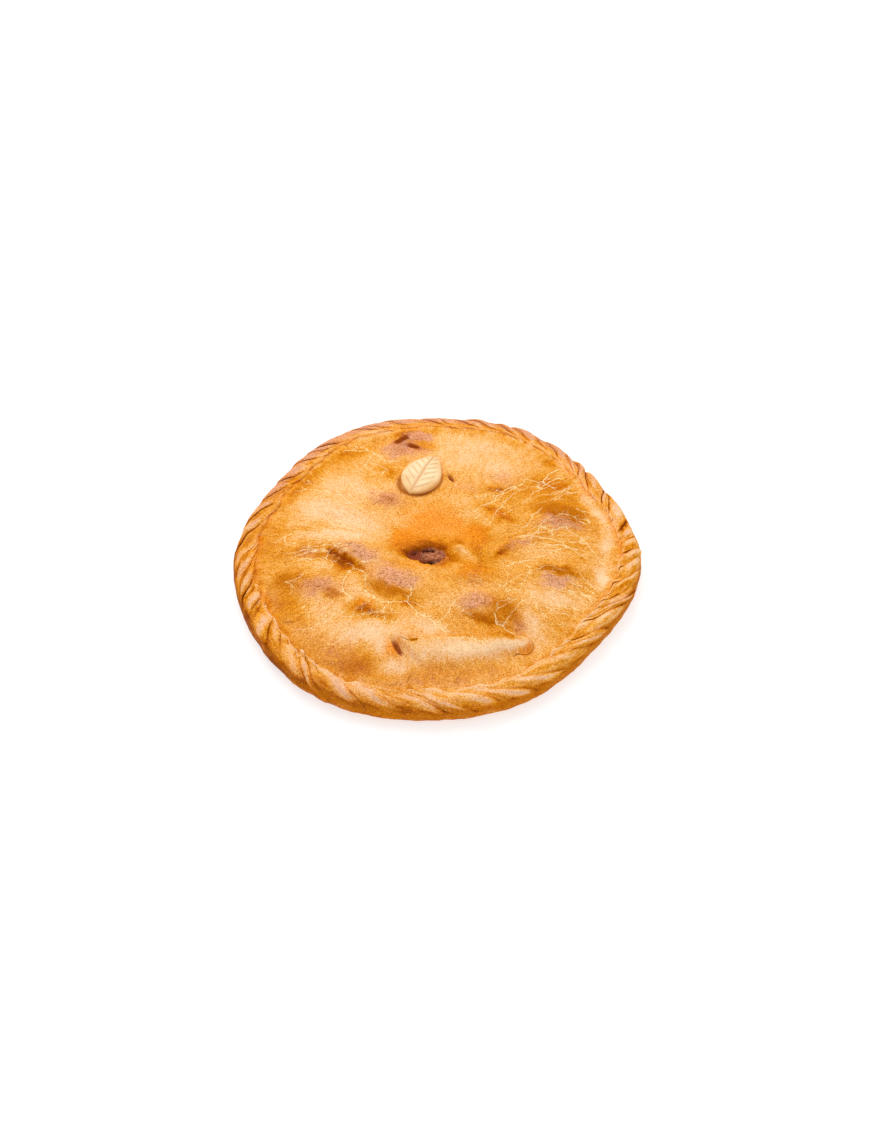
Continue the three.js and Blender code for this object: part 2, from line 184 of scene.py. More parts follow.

# scorched spots, from olive to brown, and painted shade on the shadow sides of blisters
scorchAndShadeMarks = [
    (92, 35, 18, 8, -12, 1.1), (101, 28, 9, 7, 0, 0.6), (86, -28, 15, 5.0, 2, 1.1),
    (-33, 124, 10, 5, 10, 0.35), (-31, 104, 8, 9, -20, 0.45), (-14, 120, 8, 7, 0, 0.3),
    (92, 20, 11, 5, 0, 0.3), (-38, 42, 8, 6, -20, 0.25), (-32, -40, 10, 6, -20, 0.15),
    (95, -32, 6, 4, 0, 0.4), (48, -66, 13, 10, -25, 0.9), (34, -76, 15, 4, -20, 0.7),
    (57, -82, 6, 12, 10, 0.35), (-110, -35, 12, 10, 0, 0.7), (-88, -40, 16, 9, -12, 0.35),
    (-75, -51, 8, 4, -20, 0.5), (-29, -53, 16, 4.5, -18, 0.9), (-43, -45, 6, 5, 0, 0.5),
    (-38, 41, 11, 9, -20, 0.3), (27, -43, 10, 6, 0, 0.6), (62, -3, 12, 4, 30, 0.35),
    (-58, -113, 16, 8, 0, 0.42), (-112, -66, 8, 14, 25, 0.3), (-88, -98, 14, 7, -45, 0.35),
    (-62, -117, 12, 6, -20, 0.2), (16, -5, 6, 3, -20, 0.5),
]

# painted sheen: dull pinkish reflections of the lamp on the blisters, painted into the colour
sheenMarks = [
    (-57, -14, 17, 6.5, -30, 1.2), (-33, -38, 15, 9, -20, 1.15), (-20, -44, 8, 6, 0, 0.7),
    (-85, -43, 15, 8, -14, 0.95), (27, -62, 13, 9, 0, 0.95), (56, -80, 6, 12, 10, 0.7),
    (84, -40, 11, 5, 0, 1.4), (92, 21, 15, 6.5, -5, 1.2), (-15, 124, 9, 6, -20, 1.2),
    (-13, 119, 8, 5, -20, 1.0), (-31, 105, 11, 13, -20, 1.25), (-13, 101, 8, 6, 0, 0.5),
    (-38, 42, 13, 9, -20, 0.9), (50, 68, 11, 9, 0, 0.5), (22, 56, 10, 7, 0, 0.35),
    (27, -43, 10, 6, 0, 0.4), (60, -4, 13, 5, 30, 0.75), (-76, 27, 9, 9, 0, 0.3),
    (-97, -12, 10, 5, -10, 0.4), (40, 105, 12, 12, 0, 0.25), (-60, -95, 10, 6, 0, 0.25),
    (10, -121, 90, 12, 0, 0.28), (-75, -103, 22, 13, -35, 0.35), (-92, -78, 12, 12, 0, 0.25),
    (-121, -50, 8, 30, 25, 0.3), (0, -130, 30, 4, 0, 0.5), (-126, 20, 6, 30, -8, 0.15),
]

# where the skin is drawn into fine lines that run outwards from the vent
rayMarks = [
    (85, 5, 36, 16, 0, 1.0), (100, -55, 22, 24, 20, 0.9), (85, 60, 26, 18, 40, 0.8),
    (-85, -10, 26, 14, 0, 0.8), (-75, 15, 24, 12, -15, 0.7), (-40, -75, 26, 12, 0, 0.6),
    (30, -45, 22, 12, 0, 0.6), (-95, 70, 22, 16, 40, 0.5), (45, 45, 18, 12, 30, 0.7),
    (-10, -35, 22, 8, 0, 0.5),
]

# oil from the filling, soaked into the lid
oilMarks = [
    (-4, 16, 26, 20, 0, 1.0), (28, 2, 14, 12, 0, 0.7), (24, -30, 20, 10, -20, 0.6),
    (-26, -2, 9, 8, 0, 1.1), (-14, -26, 12, 5, -10, 0.6), (14, 56, 10, 10, 0, 0.35),
    (-54, -64, 10, 6, -25, 0.6), (-22, -63, 7, 3, -15, 0.5), (-9, 109, 8, 4, -10, 0.5),
    (-71, -25, 14, 4, -38, 0.4), (46, 25, 11, 6, -25, 0.8), (88, 69, 15, 7, -5, 0.5),
    (88, 94, 7, 5, 0, 0.5), (-32, -101, 5, 8, 25, 0.9), (63, -100, 6, 3, 40, 0.7),
]

# cracks in the lid's skin, pale ones above 0 and dark ones below; some dark ones are painted shade in thin
# creases and a painted shadow under the pleat's right tip: strength, and points on the way
cracks = [
    (-0.9, [(-113, -68.5), (-107, -71), (-101, -71)]),
    (-0.9, [(-85, -109.5), (-79, -111.5), (-73, -111), (-69, -109)]),
    (-0.7, [(-41, -127.5), (-34, -128.5), (-26, -127.5)]), (-0.8, [(-21, -128), (-18.5, -120)]),
    (-0.5, [(10, -129), (14, -122)]), (-1.0, [(-28, -94), (-24, -97), (-19, -98.4), (-14.5, -97.3)]),
    (-0.7, [(-27, -101.5), (-24.5, -104.5), (-21, -108.5)]), (-0.6, [(-66, -7), (-60, -7.5)]),
    (-0.5, [(-62, -15), (-56, -17)]), (-0.6, [(-58, -10.5), (-52, -12.5)]),
    (-1.0, [(66, -92.5), (66.6, -96.5), (64, -100.5), (59, -102.8), (53, -103.8)]),
    (-0.6, [(-79, -33.5), (-74, -37)]), (-0.6, [(-117, -60), (-112, -67)]),
    (-0.6, [(-37, -40), (-33, -42), (-29, -42.5)]), (-0.5, [(-43, -36), (-38, -36.5)]),
    (-0.5, [(27.5, -14), (29, -19), (26, -25)]), (-0.4, [(-75, 34), (-66, 31)]),
    (-0.4, [(30, 112), (38, 108), (44, 110)]), (-0.35, [(16, 96), (24, 92), (33, 93)]),
    (-0.35, [(-92, 45), (-84, 42), (-78, 43)]),
    (1.0, [(-52, -50), (-46, -57), (-40, -62), (-32, -62), (-22, -61),
           (-18, -66), (-12, -73), (-4, -78), (2, -84)]),
    (1.0, [(2, -84), (6, -88.5)]),
    (1.0, [(6, -94.8), (12, -94.6), (19, -94.2), (25, -95), (31, -97.5)]),
    (0.8, [(-22, -61), (-19, -56), (-19, -49)]), (0.8, [(0, -79), (8, -70), (12, -61)]),
    (0.9, [(-60, -28), (-65, -34), (-68, -42), (-66, -52), (-61, -58)]),
    (0.9, [(-60, -28), (-54, -32), (-51, -37), (-52, -45)]),
    (0.7, [(-78, -27), (-75, -21), (-72, -17)]), (0.7, [(-100, -14), (-88, -16), (-79, -17.5)]),
    (0.7, [(-57, -24.5), (-51, -24), (-43, -23)]),
    (0.9, [(-68, -72), (-60, -72), (-50, -72), (-40, -71), (-38, -66)]),
    (0.6, [(-61, -73), (-59, -67.5), (-55, -65), (-51, -60.5)]),
    (0.7, [(-38, -79), (-38, -71), (-29, -71)]), (0.6, [(-100, -79), (-92, -79), (-86, -81)]),
    (0.6, [(-95, -67), (-88, -60), (-78, -54)]), (0.6, [(-85, -76), (-78, -68), (-70, -62)]),
    (0.5, [(-110, -36), (-103, -42), (-106, -47)]), (0.6, [(40, -71), (45, -67), (52, -60), (56, -57)]),
    (0.6, [(46, -80), (51, -72), (57, -63)]),
    (0.9, [(40, -72), (41, -80), (46, -81), (50, -86), (55, -90)]),
    (0.7, [(63, -47), (68, -55), (70, -64), (76, -70)]), (0.6, [(85, -76), (95, -76), (101, -80)]),
    (0.8, [(99, -40), (105, -46), (112, -54), (117, -60)]), (0.6, [(95, -45), (103, -53), (110, -61)]),
    (0.6, [(69, -30), (77, -26), (83, -25), (90, -29)]), (0.5, [(72, -33), (78, -31), (85, -32)]),
    (0.7, [(74, -9), (85, -8), (91, -4), (100, -6), (109, -11)]),
    (0.7, [(61, -22), (66, -28), (64, -36)]),
    (1.0, [(-73, 108), (-62, 108), (-55, 107), (-50, 102), (-45, 97), (-40, 90), (-34, 89)]),
    (0.8, [(-66, 114), (-56, 111), (-50, 103)]), (0.8, [(-50, 100), (-54, 91), (-58, 83)]),
    (0.8, [(-51, 89), (-44, 84), (-38, 78), (-44, 74), (-51, 74)]),
    (0.7, [(-107, 76), (-100, 74), (-92, 71)]),
    (0.8, [(-110, 64), (-100, 63), (-90, 58), (-80, 51), (-70, 49)]),
    (0.8, [(-121, 8), (-112, 12), (-106, 14), (-95, 12), (-88, 8), (-79, 3)]),
    (0.6, [(-37, 66), (-36, 56)]), (1.0, [(66, 70), (72, 71), (80, 72), (84, 68), (89, 64)]),
    (0.9, [(80, 72), (84, 78), (88, 83), (95, 88), (101, 88), (107, 84), (110, 79)]),
    (1.0, [(66, 70), (64, 64), (56, 57), (52, 55), (48, 49), (44, 46), (42, 40), (32, 34)]),
    (0.9, [(86, 57), (94, 61), (101, 61), (109, 62)]), (0.8, [(90, 76), (98, 78), (107, 79)]),
    (0.8, [(78, 36), (73, 30), (70, 24), (64, 14)]),
    (0.8, [(85, 27), (80, 22), (74, 15), (72, 9), (68, 2)]),
    (0.7, [(58, 3), (72, 5), (84, 4), (92, 1)]), (0.7, [(94, 18), (100, 12), (108, 5)]),
    (0.8, [(104, 40), (112, 38), (122, 36)]), (1.0, [(106, 25), (111, 24), (114, 27), (111, 29)]),
    (0.7, [(52, 45), (48, 36), (44, 29), (41, 24), (37, 15)]), (0.5, [(58, 33), (52, 29), (48, 26)]),
    (0.6, [(24, 43), (32, 44), (38, 48)]), (0.6, [(96, 86), (99, 80), (101, 76)]),
    (0.7, [(88, 26), (93, 29), (98, 29.5), (103, 27)]),
    (0.8, [(108, 5), (112, -2), (117, -9), (122, -16)]),
    (0.7, [(74, 3), (82, 3), (92, 0), (100, -6), (106, -10)]),
    (0.6, [(79, -2), (84, -4), (88, -5), (94, -4)]),
    (0.8, [(50, -27), (55, -23), (62, -21), (70, -17), (77, -15)]),
    (0.6, [(42, -49), (47, -45), (54, -39), (60, -34)]),
    (0.55, [(41, -67), (42, -63), (47, -60), (54, -57.5)]),
    (0.7, [(57, -62), (63, -57), (68, -54), (73, -55)]),
    (0.7, [(49, -54), (50, -50.5), (54, -48.5), (58, -49), (60, -43), (63, -37), (67, -31)]),
    (0.5, [(64, -78), (67, -86), (70, -94), (73, -104)]), (0.5, [(80.5, -81), (81.5, -88), (83, -97)]),
    (0.5, [(91, -82), (95, -87)]), (0.7, [(102, -28), (110, -37), (118, -46)]),
    (0.6, [(-112, 12), (-113, 7), (-113, 3)]),
    (0.5, [(-112, 25), (-104, 21), (-95, 17), (-87, 12), (-80, 6)]),
    (0.5, [(-118, -6), (-113, 0), (-106, 3)]), (0.7, [(-74, -6), (-80, -12), (-82, -17), (-77, -20)]),
    (0.6, [(-66, -23.5), (-62, -24.5), (-60, -28)]),
    (0.8, [(-111, -36), (-105, -35.5), (-100, -34), (-97, -31)]), (0.7, [(-49, -64), (-44, -64.5)]),
    (0.5, [(-81, -98), (-77, -93.5), (-72, -95)]), (0.8, [(2, -80), (5, -83.5), (7.5, -86.5)]),
    (0.7, [(-18, -62), (-13, -65), (-8, -65.5), (-3, -63.5)]),
    (0.7, [(11, -63), (16, -66), (19, -70), (23, -72)]), (0.6, [(-70, -66), (-76, -72), (-80, -76)]),
    (0.6, [(30, 31), (24, 27), (19, 21)]),
]

pleat = {"x": 18.0, "y": -93.5, "turn": 1.5, "long": 48.0, "back": 3.5, "front": 15.0, "rise": 4.5}

vent = {
    "x": -7.0, "y": -14.0, "turn": -18.0,
    "long": 15.0, "wide": 9.5,
    "depth": 4.5,  # of the well's steep part
    "dip": 3.0, "dipReach": 24.0,
    "funnel": 1.4,  # of the slope round the well
    # the curled lip at its right: an arc
    "lipX": 13.0, "lipY": -23.0, "lipRadius": 14.5, "lipFrom": -30.0, "lipTo": 85.0, "lipRise": 1.5,
}

# tears in the lid: x, y, half length, half width, turn, depth
tears = [(10, 67, 6.0, 1.9, -65, 3.4), (-28.5, -100.5, 8.5, 2.5, -60, 3.4)]


# smooth ramp from 0 at low to 1 at high
def smoothStep(low, high, value):
    share = np.clip((value - low) / (high - low), 0, 1)
    return share * share * (3 - 2 * share)


# 1 on a stretch: a smooth ramp up from a to b, and one down from c to d
def between(value, a, b, c, d):
    return smoothStep(a, b, value) * (1 - smoothStep(c, d, value))


# bell of height 1, down to 1/e at share 1
def hill(share):
    return np.exp(-share * share)


# fixed number from 0 to 1 for each whole number: the fraction of a large sine
def scatter(index):
    s = np.sin(index * 12.9898 + 4.1) * 43758.5453
    return s - np.floor(s)


# soft noise of about -1 to 1: slopes at the corners of square cells, blended by quintic steps
def softNoise(x, y, size, seed):
    angle = np.random.default_rng(seed).uniform(0, tau, (64, 64))
    column = np.floor(x / size).astype(int)
    row = np.floor(y / size).astype(int)
    u = x / size - column
    v = y / size - row
    def corner(i, j):
        turn = angle[(column + i) % 64, (row + j) % 64]
        return np.cos(turn) * (u - i) + np.sin(turn) * (v - j)
    a = u ** 3 * (u * (6 * u - 15) + 10)
    b = v ** 3 * (v * (6 * v - 15) + 10)
    low = corner(0, 0) * (1 - a) + corner(1, 0) * a
    high = corner(0, 1) * (1 - a) + corner(1, 1) * a
    return 1.5 * (low * (1 - b) + high * b)


# position along and across a feature with a place and a turn
def ownAxes(x, y, placeX, placeY, turn):
    c, s = cos(radians(turn)), sin(radians(turn))
    return (x - placeX) * c + (y - placeY) * s, (y - placeY) * c - (x - placeX) * s


# the reverse of ownAxes: the place of a point that is given along and across a feature
def placed(u, v, feature):
    c, s = cos(radians(feature["turn"])), sin(radians(feature["turn"]))
    return feature["x"] + u * c - v * s, feature["y"] + u * s + v * c


# distance from an oval's middle, where 1 is its edge
def ovalReach(x, y, placeX, placeY, length, width, turn):
    u, v = ownAxes(x, y, placeX, placeY, turn)
    return np.hypot(u / length, v / width)


# sum of oval bells, each with its strength
def ovals(x, y, rows):
    total = np.zeros_like(x)
    for *oval, strength in rows:
        total = total + strength * hill(ovalReach(x, y, *oval))
    return total


# how far marks on the lid are moved about by noise: reach, grain size, and a seed for x and one for y
lidWander = {
    "broad": [(3, 15, 21, 23), (2, 6, 22, 24)],
    "veil": [(3, 8, 27, 28)],  # besides the broad ones
    "char": [(1.2, 5, 25, 26), (0.5, 2.6, 29, 30)],
    "cracks": [(0.6, 4, 41, 42)],
}


# a place moved about by soft noise, in x and y apart
def wander(x, y, rows):
    movedX, movedY = x, y
    for reach, size, seedX, seedY in rows:
        movedX = movedX + reach * softNoise(x, y, size, seedX)
        movedY = movedY + reach * softNoise(x, y, size, seedY)
    return movedX, movedY


columns = hem["folds"] * hem["columnsPerFold"]
cells = columns // 4


# number of the fold and place across it from 0 to 1, with more columns near the creases
def foldPlace(column, section):
    fold = np.floor(column / hem["columnsPerFold"])
    along = column / hem["columnsPerFold"] - fold
    crowd = hem["crowding"] * (1 - smoothStep(120, hem["tuck"], section))
    return fold, along - crowd * np.sin(tau * along) / tau


# direction of a place counted in folds: uneven steps, crowded together at tightAt
def foldDirection(place):
    fold = np.floor(place)
    early = scatter(fold % hem["folds"] + 200)
    late = scatter((fold + 1) % hem["folds"] + 200)
    even = (place + hem["jitter"] * (early + (late - early) * (place - fold) - 0.5)) / hem["folds"] * tau
    return even - hem["pitchSwing"] * np.sin(even - radians(hem["tightAt"]))


# radius of the outline: a circle plus a few waves
def outlineRadius(direction):
    radius = outline["meanRadius"]
    for lobes, swing, turn in outline["waves"]:
        radius = radius + swing * np.cos(lobes * (direction - radians(turn)))
    return radius


# a wave made fuller, to the power that the section's exponent asks for
def squared(wave):
    return np.sign(wave) * np.abs(wave) ** (2 / hem["squareness"])


# relief across a fold: a quarter sine up to the ridge, and a short quarter cosine down to the crease
def foldRelief(fold, along):
    size = 1 + hem["uneven"] * (2 * scatter(fold % hem["folds"]) - 1)
    rise = np.sin(pi / 2 * np.clip(along / hem["ridge"], 0, 1)) ** 0.9
    drop = np.cos(pi / 2 * np.clip((along - hem["ridge"]) / (1 - hem["ridge"]), 0, 1)) ** 0.7
    return size * rise * drop


# width of the hem's section: wider at the front left
def hemWidth(direction):
    return hem["width"] + hem["widthSwing"] * np.cos(direction - radians(hem["wideAt"]))


# sum of bells round the pie, each with its direction, reach and strength
def roundPie(column, rows):
    turn = column / columns * 360
    total = np.zeros_like(turn)
    for direction, reach, strength in rows:
        total = total + strength * hill(((turn - direction + 180) % 360 - 180) / reach)
    return total


# the same sum, held between 0 and 1
def inPlace(column, rows):
    return np.clip(roundPie(column, rows), 0, 1)


# 1 at the front of the pie and 0 from its sides on
def atFront(column):
    return smoothStep(0.2, 0.9, -np.sin(column / columns * tau))


# 1 at the back of the pie and 0 from its sides on
def atBack(column):
    return smoothStep(0.1, 0.8, np.sin(column / columns * tau))


# strength of the folds: spindles over the top, each full at its own section angle, and low folds between
def foldShare(fold, column, section):
    number = fold % hem["folds"]
    full = hem["fullAt"] - 14 * atFront(column) + 16 * (2 * scatter(number + 15) - 1)
    reach = hem["fullReach"] + 12 * scatter(number + 16)
    spindle = np.exp(-np.abs((section - full) / reach) ** 3)
    low = smoothStep(hem["foldsFrom"], hem["foldsTo"], section)
    low = low * (1 - 0.6 * smoothStep(105, 145, section))
    return (0.6 + roundPie(column, hem["bold"])) * (0.85 * spindle + 0.2 * low)


# the smaller folds at the tuck, half a step further round: a sine across each, lower at the back
def flakeRise(fold, along, column, section):
    place = fold + along + 0.5
    number = np.floor(place)
    size = smoothStep(0.1, 0.9, scatter(number % hem["folds"] + 300)) * (1 - 0.7 * atBack(column))
    return size * np.sin(pi * (place - number)) ** 0.8 * hill((section - 129) / 15)


# place on a circle along the hem, at a turn in radians
def ropePlace(turn):
    return hem["ropeRadius"] * np.cos(turn), hem["ropeRadius"] * np.sin(turn)


# ragged flakes along the inner edge: patches of noise where the edge is flaky
def raggedRise(fold, along, column, section):
    x, y = ropePlace((fold + along) / hem["folds"] * tau)
    patches = smoothStep(-0.05, 0.3, softNoise(x + section / 8, y + section / 3, 6.5, 44))
    return inPlace(column, hem["ragged"]) * hill((section - 122) / 14) * patches


# point of the hem: a superellipse section inside the outline, swollen by folds that lean and wander
def hemPoint(column, section):
    angle = np.radians(section)
    turn = column / columns * tau
    fold, along = foldPlace(column, section)
    number = fold % hem["folds"]
    folded = foldShare(fold, column, section)

    # direction: the folds' steps, the lip of each ridge, the lean and the sway
    lean = hem["lean"] - roundPie(column, hem["steep"]) + hem["flatter"] * atFront(column)
    lean = lean + hem["leanSwing"] * softNoise(*ropePlace(turn), 26, 37)
    lean = np.radians(lean) * np.clip(1 - section / hem["tuck"], 0, 1)
    lip = between(along, 0.45, 0.85, 0.93, 1.0) * (1 - 0.7 * roundPie(column, hemPlaces["right"]))
    direction = foldDirection(fold + along + hem["lipShift"] * lip * folded) + lean
    radius = outlineRadius(direction)
    x, y = radius * np.cos(direction), radius * np.sin(direction)
    direction = direction + hem["sway"] * softNoise(x + section / 12, y, 17, 31) / radius

    # swelling: the folds' relief, their partings and two grains of noise
    parted = inPlace(column, hem["parted"])
    split = 0.8 * smoothStep(0.4, 0.7, scatter(number + 30)) * (1 - parted) + 1.5 * parted
    split = split * hill((along - hem["partAt"]) / (0.07 + 0.03 * parted))
    swell = (hem["relief"] * foldRelief(fold, along) - split) * folded
    swell = swell + 0.7 * softNoise(x, y + section / 5, 13, 32)
    swell = swell + 0.3 * softNoise(x, y + section / 5, 5, 33)
    out = hemWidth(direction) / 2 * (squared(np.cos(angle)) - 1) + swell * np.cos(angle)
    up = hem["height"] / 2 * (squared(np.sin(angle)) + 1)
    up = up + swell * np.sin(angle) * smoothStep(-90, -50, section)

    # inner edge: raised to the lid, scalloped and flaky
    inside = smoothStep(100, 140, section)
    reach = hem["scallop"] * (scatter(number + 75) - 0.2) * np.sin(pi * along)
    reach = (reach + 2 * softNoise(x, y, 12, 35)) * inside
    lift = hem["lift"] * (1 + hem["liftSwing"] * (np.cos(turn - radians(hem["liftAt"])) - 1))
    flake = hem["flakes"] * flakeRise(fold, along, column, section)
    flake = flake + hem["rags"] * raggedRise(fold, along, column, section)
    up = up + lift * smoothStep(95, hem["tuck"], section) + 0.4 * reach + 0.8 * flake
    up = up + 0.5 * softNoise(x, y + section / 4, 6, 34) * inside
    radius = outlineRadius(direction) + out - reach - 0.5 * flake
    return radius * np.cos(direction), radius * np.sin(direction), up


# radius where the lid meets the hem, folds left out
def tuckRadius(direction):
    return outlineRadius(direction) + hemWidth(direction) / 2 * (squared(cos(radians(hem["tuck"]))) - 1)


# the pleat: steep behind, soft in front, pointed at its left end and round at its right end
def pleatRise(x, y):
    u, v = ownAxes(x, y, pleat["x"], pleat["y"], pleat["turn"])
    front = pleat["front"] * (1 - 0.5 * smoothStep(-10, pleat["long"], u))
    edge = 1.5 * np.sin(u / 16)
    behind = 1 - smoothStep(0, pleat["back"], v - edge)
    across = np.where(v > edge, behind, 1 - smoothStep(0.6 * front, 1.6 * front, edge - v))
    left = smoothStep(-1, 2.5, u + pleat["long"] - 0.9 * np.abs(v))
    right = smoothStep(-0.5, 2.5, pleat["long"] - u - 0.12 * (v + 1) ** 2)
    return pleat["rise"] * across * left * right


# distance from the vent's middle, where 1 is its uneven edge
def ventReach(x, y):
    u, v = ownAxes(x, y, vent["x"], vent["y"], vent["turn"])
    around = np.arctan2(v / vent["wide"], u / vent["long"])
    edge = 1 + 0.1 * np.sin(2 * around + 1) + 0.07 * np.sin(3 * around + 4) + 0.05 * np.sin(7 * around)
    edge = edge + 0.14 * softNoise(x, y, 6, 51) + 0.1 * softNoise(x, y, 3, 52)
    return np.hypot(u / vent["long"], v / vent["wide"]) / edge


# the curled lip beside the vent: a ridge along an arc, with a groove outside it
def ventLip(x, y):
    radius = np.hypot(x - vent["lipX"], y - vent["lipY"]) - vent["lipRadius"]
    turn = np.degrees(np.arctan2(y - vent["lipY"], x - vent["lipX"]))
    there = smoothStep(vent["lipFrom"] - 15, vent["lipFrom"] + 15, turn)
    there = there * (1 - smoothStep(vent["lipTo"] - 20, vent["lipTo"] + 10, turn))
    return there * vent["lipRise"] * (hill(radius / 3) - 0.7 * hill((radius - 3.6) / 0.9))


# height of the lid without its holes: dome, mounds, blisters, pleat, dip at the vent and uneven dough
def lidHeight(x, y, share):
    height = lid["topHeight"] + (lid["edgeHeight"] - lid["topHeight"]) * share ** lid["fullness"]
    for placeX, placeY, reach, rise in lid["mounds"]:
        height = height + rise * hill(np.hypot(x - placeX, y - placeY) / reach)
    height = height + ovals(x, y, lid["blisters"]) - ovals(x, y, lid["creases"])
    height = height - vent["dip"] * hill(np.hypot(x - vent["x"], y - vent["y"]) / vent["dipReach"])
    height = height + lid["lump"] * (softNoise(x, y, 21, 3) + 0.5 * softNoise(x, y, 9, 5))
    return height + pleatRise(x, y) + ventLip(x, y)


# the same height at any point, with its share of the radius worked out
def lidHeightAt(x, y):
    return lidHeight(x, y, np.hypot(x, y) / tuckRadius(np.arctan2(y, x)))


# depth of the hollows at a point: a slope and then a steep drop for the vent, grooves for the tears
def lidHollow(x, y):
    reach = ventReach(x, y)
    depth = vent["funnel"] * (1 - smoothStep(0.9, 1.8, reach))
    depth = depth + vent["depth"] * (1 - smoothStep(0.7, 1.1, reach))
    for *oval, deep in tears:
        depth = depth + deep * smoothStep(-0.15, 0.7, 1 - ovalReach(x, y, *oval))
    return depth


# point of the lid: the dome and its hollows, with its edge moved to the hem's tuck
def lidPoint(share, column):
    direction = foldDirection(column / hem["columnsPerFold"])
    rimX = tuckRadius(direction) * np.cos(direction)
    rimY = tuckRadius(direction) * np.sin(direction)
    rimZ = lidHeight(rimX, rimY, np.ones_like(share))
    edgeX, edgeY, edgeZ = hemPoint(column, np.full_like(column, hem["tuck"]))
    x = share * rimX
    y = share * rimY
    z = lidHeight(x, y, share) - lidHollow(x, y)
    bend = smoothStep(lid["blend"], 1, share)
    return x + (edgeX - rimX) * bend, y + (edgeY - rimY) * bend, z + (edgeZ - rimZ) * bend


# a new object with its data, put into the scene
def addObject(name, data):
    added = bpy.data.objects.new(name, data)
    bpy.context.scene.collection.objects.link(added)
    return added


# a new mesh from points in millimetres and rows of face corners; float attributes go in by name
def makePiece(name, points, faces, attributes, material):
    mesh = bpy.data.meshes.new(name)
    mesh.from_pydata(points / 1000, [], faces)
    for key, values in attributes.items():
        layer = mesh.attributes.new(key, "FLOAT", "POINT")
        layer.data.foreach_set("value", values.astype(np.float32))
    mesh.shade_smooth()
    mesh.materials.append(material)
    return addObject(name, mesh)


# one quad for each cell between neighbouring rows of indices
def quads(rows):
    return np.stack([rows[:-1, :-1], rows[:-1, 1:], rows[1:, 1:], rows[1:, :-1]], -1).reshape(-1, 4)


# the drawn cracks made jagged, with small side cracks: each step is halved at a point set off sideways
def jaggedCracks():
    dice = np.random.default_rng(7)
    rows = []
    for strength, points in cracks:
        for (startX, startY), (endX, endY) in zip(points, points[1:]):
            length = np.hypot(endX - startX, endY - startY)
            off = dice.uniform(-0.14, 0.14) * length
            midX = (startX + endX) / 2 - (endY - startY) / length * off
            midY = (startY + endY) / 2 + (endX - startX) / length * off
            rows.append((strength, startX, startY, midX, midY))
            rows.append((strength, midX, midY, endX, endY))
            heading = np.arctan2(endY - startY, endX - startX)
            for twig in range(dice.integers(0, 3) if strength > 0 else 0):
                aim = heading + dice.choice([-1, 1]) * dice.uniform(0.4, 1.2)
                atX, atY = midX, midY
                for step in range(dice.integers(1, 4)):
                    reach = dice.uniform(2, 5)
                    aim = aim + dice.uniform(-0.5, 0.5)
                    nextX, nextY = atX + reach * np.cos(aim), atY + reach * np.sin(aim)
                    rows.append((strength * (0.6 - 0.12 * step), atX, atY, nextX, nextY))
                    atX, atY = nextX, nextY
    return rows


# signed distance to the nearest drawn crack, and how strongly the crack shows there
def drawnCracks(x, y):
    wanderX, wanderY = wander(x, y, lidWander["cracks"])
    nearest = np.full(x.shape, 99.0)
    side = np.full(x.shape, 9.0)
    shows = np.zeros_like(x)
    for strength, startX, startY, endX, endY in jaggedCracks():
        length = np.hypot(endX - startX, endY - startY)
        aheadX, aheadY = (endX - startX) / length, (endY - startY) / length
        along = (wanderX - startX) * aheadX + (wanderY - startY) * aheadY
        off = (wanderY - startY) * aheadX - (wanderX - startX) * aheadY
        beyond = np.maximum(np.maximum(-along, along - length), 0)
        distance = np.hypot(off, beyond)
        closer = distance < nearest
        nearest = np.where(closer, distance, nearest)
        side = np.where(closer, off, side)
        shows = np.where(closer, strength * (1 - smoothStep(0, 1.2, beyond)), shows)
    return np.clip(side, -3, 3), shows * (1 - smoothStep(0.95, 1.8, nearest))


# distance from the leaf's middle, where 1 is its edge
def leafReach(x, y):
    u, v = ownAxes(x, y, leaf["x"], leaf["y"], leaf["turn"])
    return np.hypot(u / leaf["length"] * 2, v / leaf["width"] * 2 * (1 + 0.3 * u / leaf["length"]))


# colouring of the lid: the marks, read at places that wander so that no mark is a plain oval
def lidMarks(x, y):
    # painted shade inside the tears
    moved = wander(x, y, lidWander["broad"])
    torn = np.zeros_like(x)
    for *oval, deep in tears:
        torn = np.maximum(torn, 1 - smoothStep(0.5, 1.0, ovalReach(x, y, *oval)))
    crackSide, crackShow = drawnCracks(x, y)
    # a band at the leaf's front edge: painted shadow of the leaf, with browned egg wash
    beside = hill((leafReach(x, y) - 1.0) / 0.1)
    beside = beside * smoothStep(-12, 14, leaf["y"] - y + 0.3 * (leaf["x"] - x))
    return {
        # the tone is darker round the vent: painted shade in its well and on the slope into it
        "bake": ovals(*moved, bakedMarks) + 0.26 * (1 - smoothStep(0.9, 1.6, ventReach(x, y))),
        # scorched spots, painted shade on the blisters' shadow sides, and the leaf's painted shadow
        "brown": ovals(*moved, scorchAndShadeMarks) + 0.8 * beside,
        # painted sheen on the blisters
        "veil": ovals(*wander(x, y, lidWander["broad"] + lidWander["veil"]), sheenMarks),
        # burnt crust, and painted shade beside blisters, in the vent's well, in tears and under the
        # pleat's tip
        "char": ovals(*wander(x, y, lidWander["char"]), charAndShadeMarks),
        "oil": ovals(*moved, oilMarks),
        "rays": ovals(*moved, rayMarks),
        "pit": torn,
        # painted shade in the thin creases and at the leaf's front edge
        "crease": np.clip(ovals(x, y, lid["creases"]) * 0.25 + 0.6 * beside, 0, 1),
        "crackSide": crackSide,
        "crackShow": crackShow,
        **dict.fromkeys(["foldLine", "flakeLine", "crest", "partLine", "golden"], np.zeros_like(x)),
    }


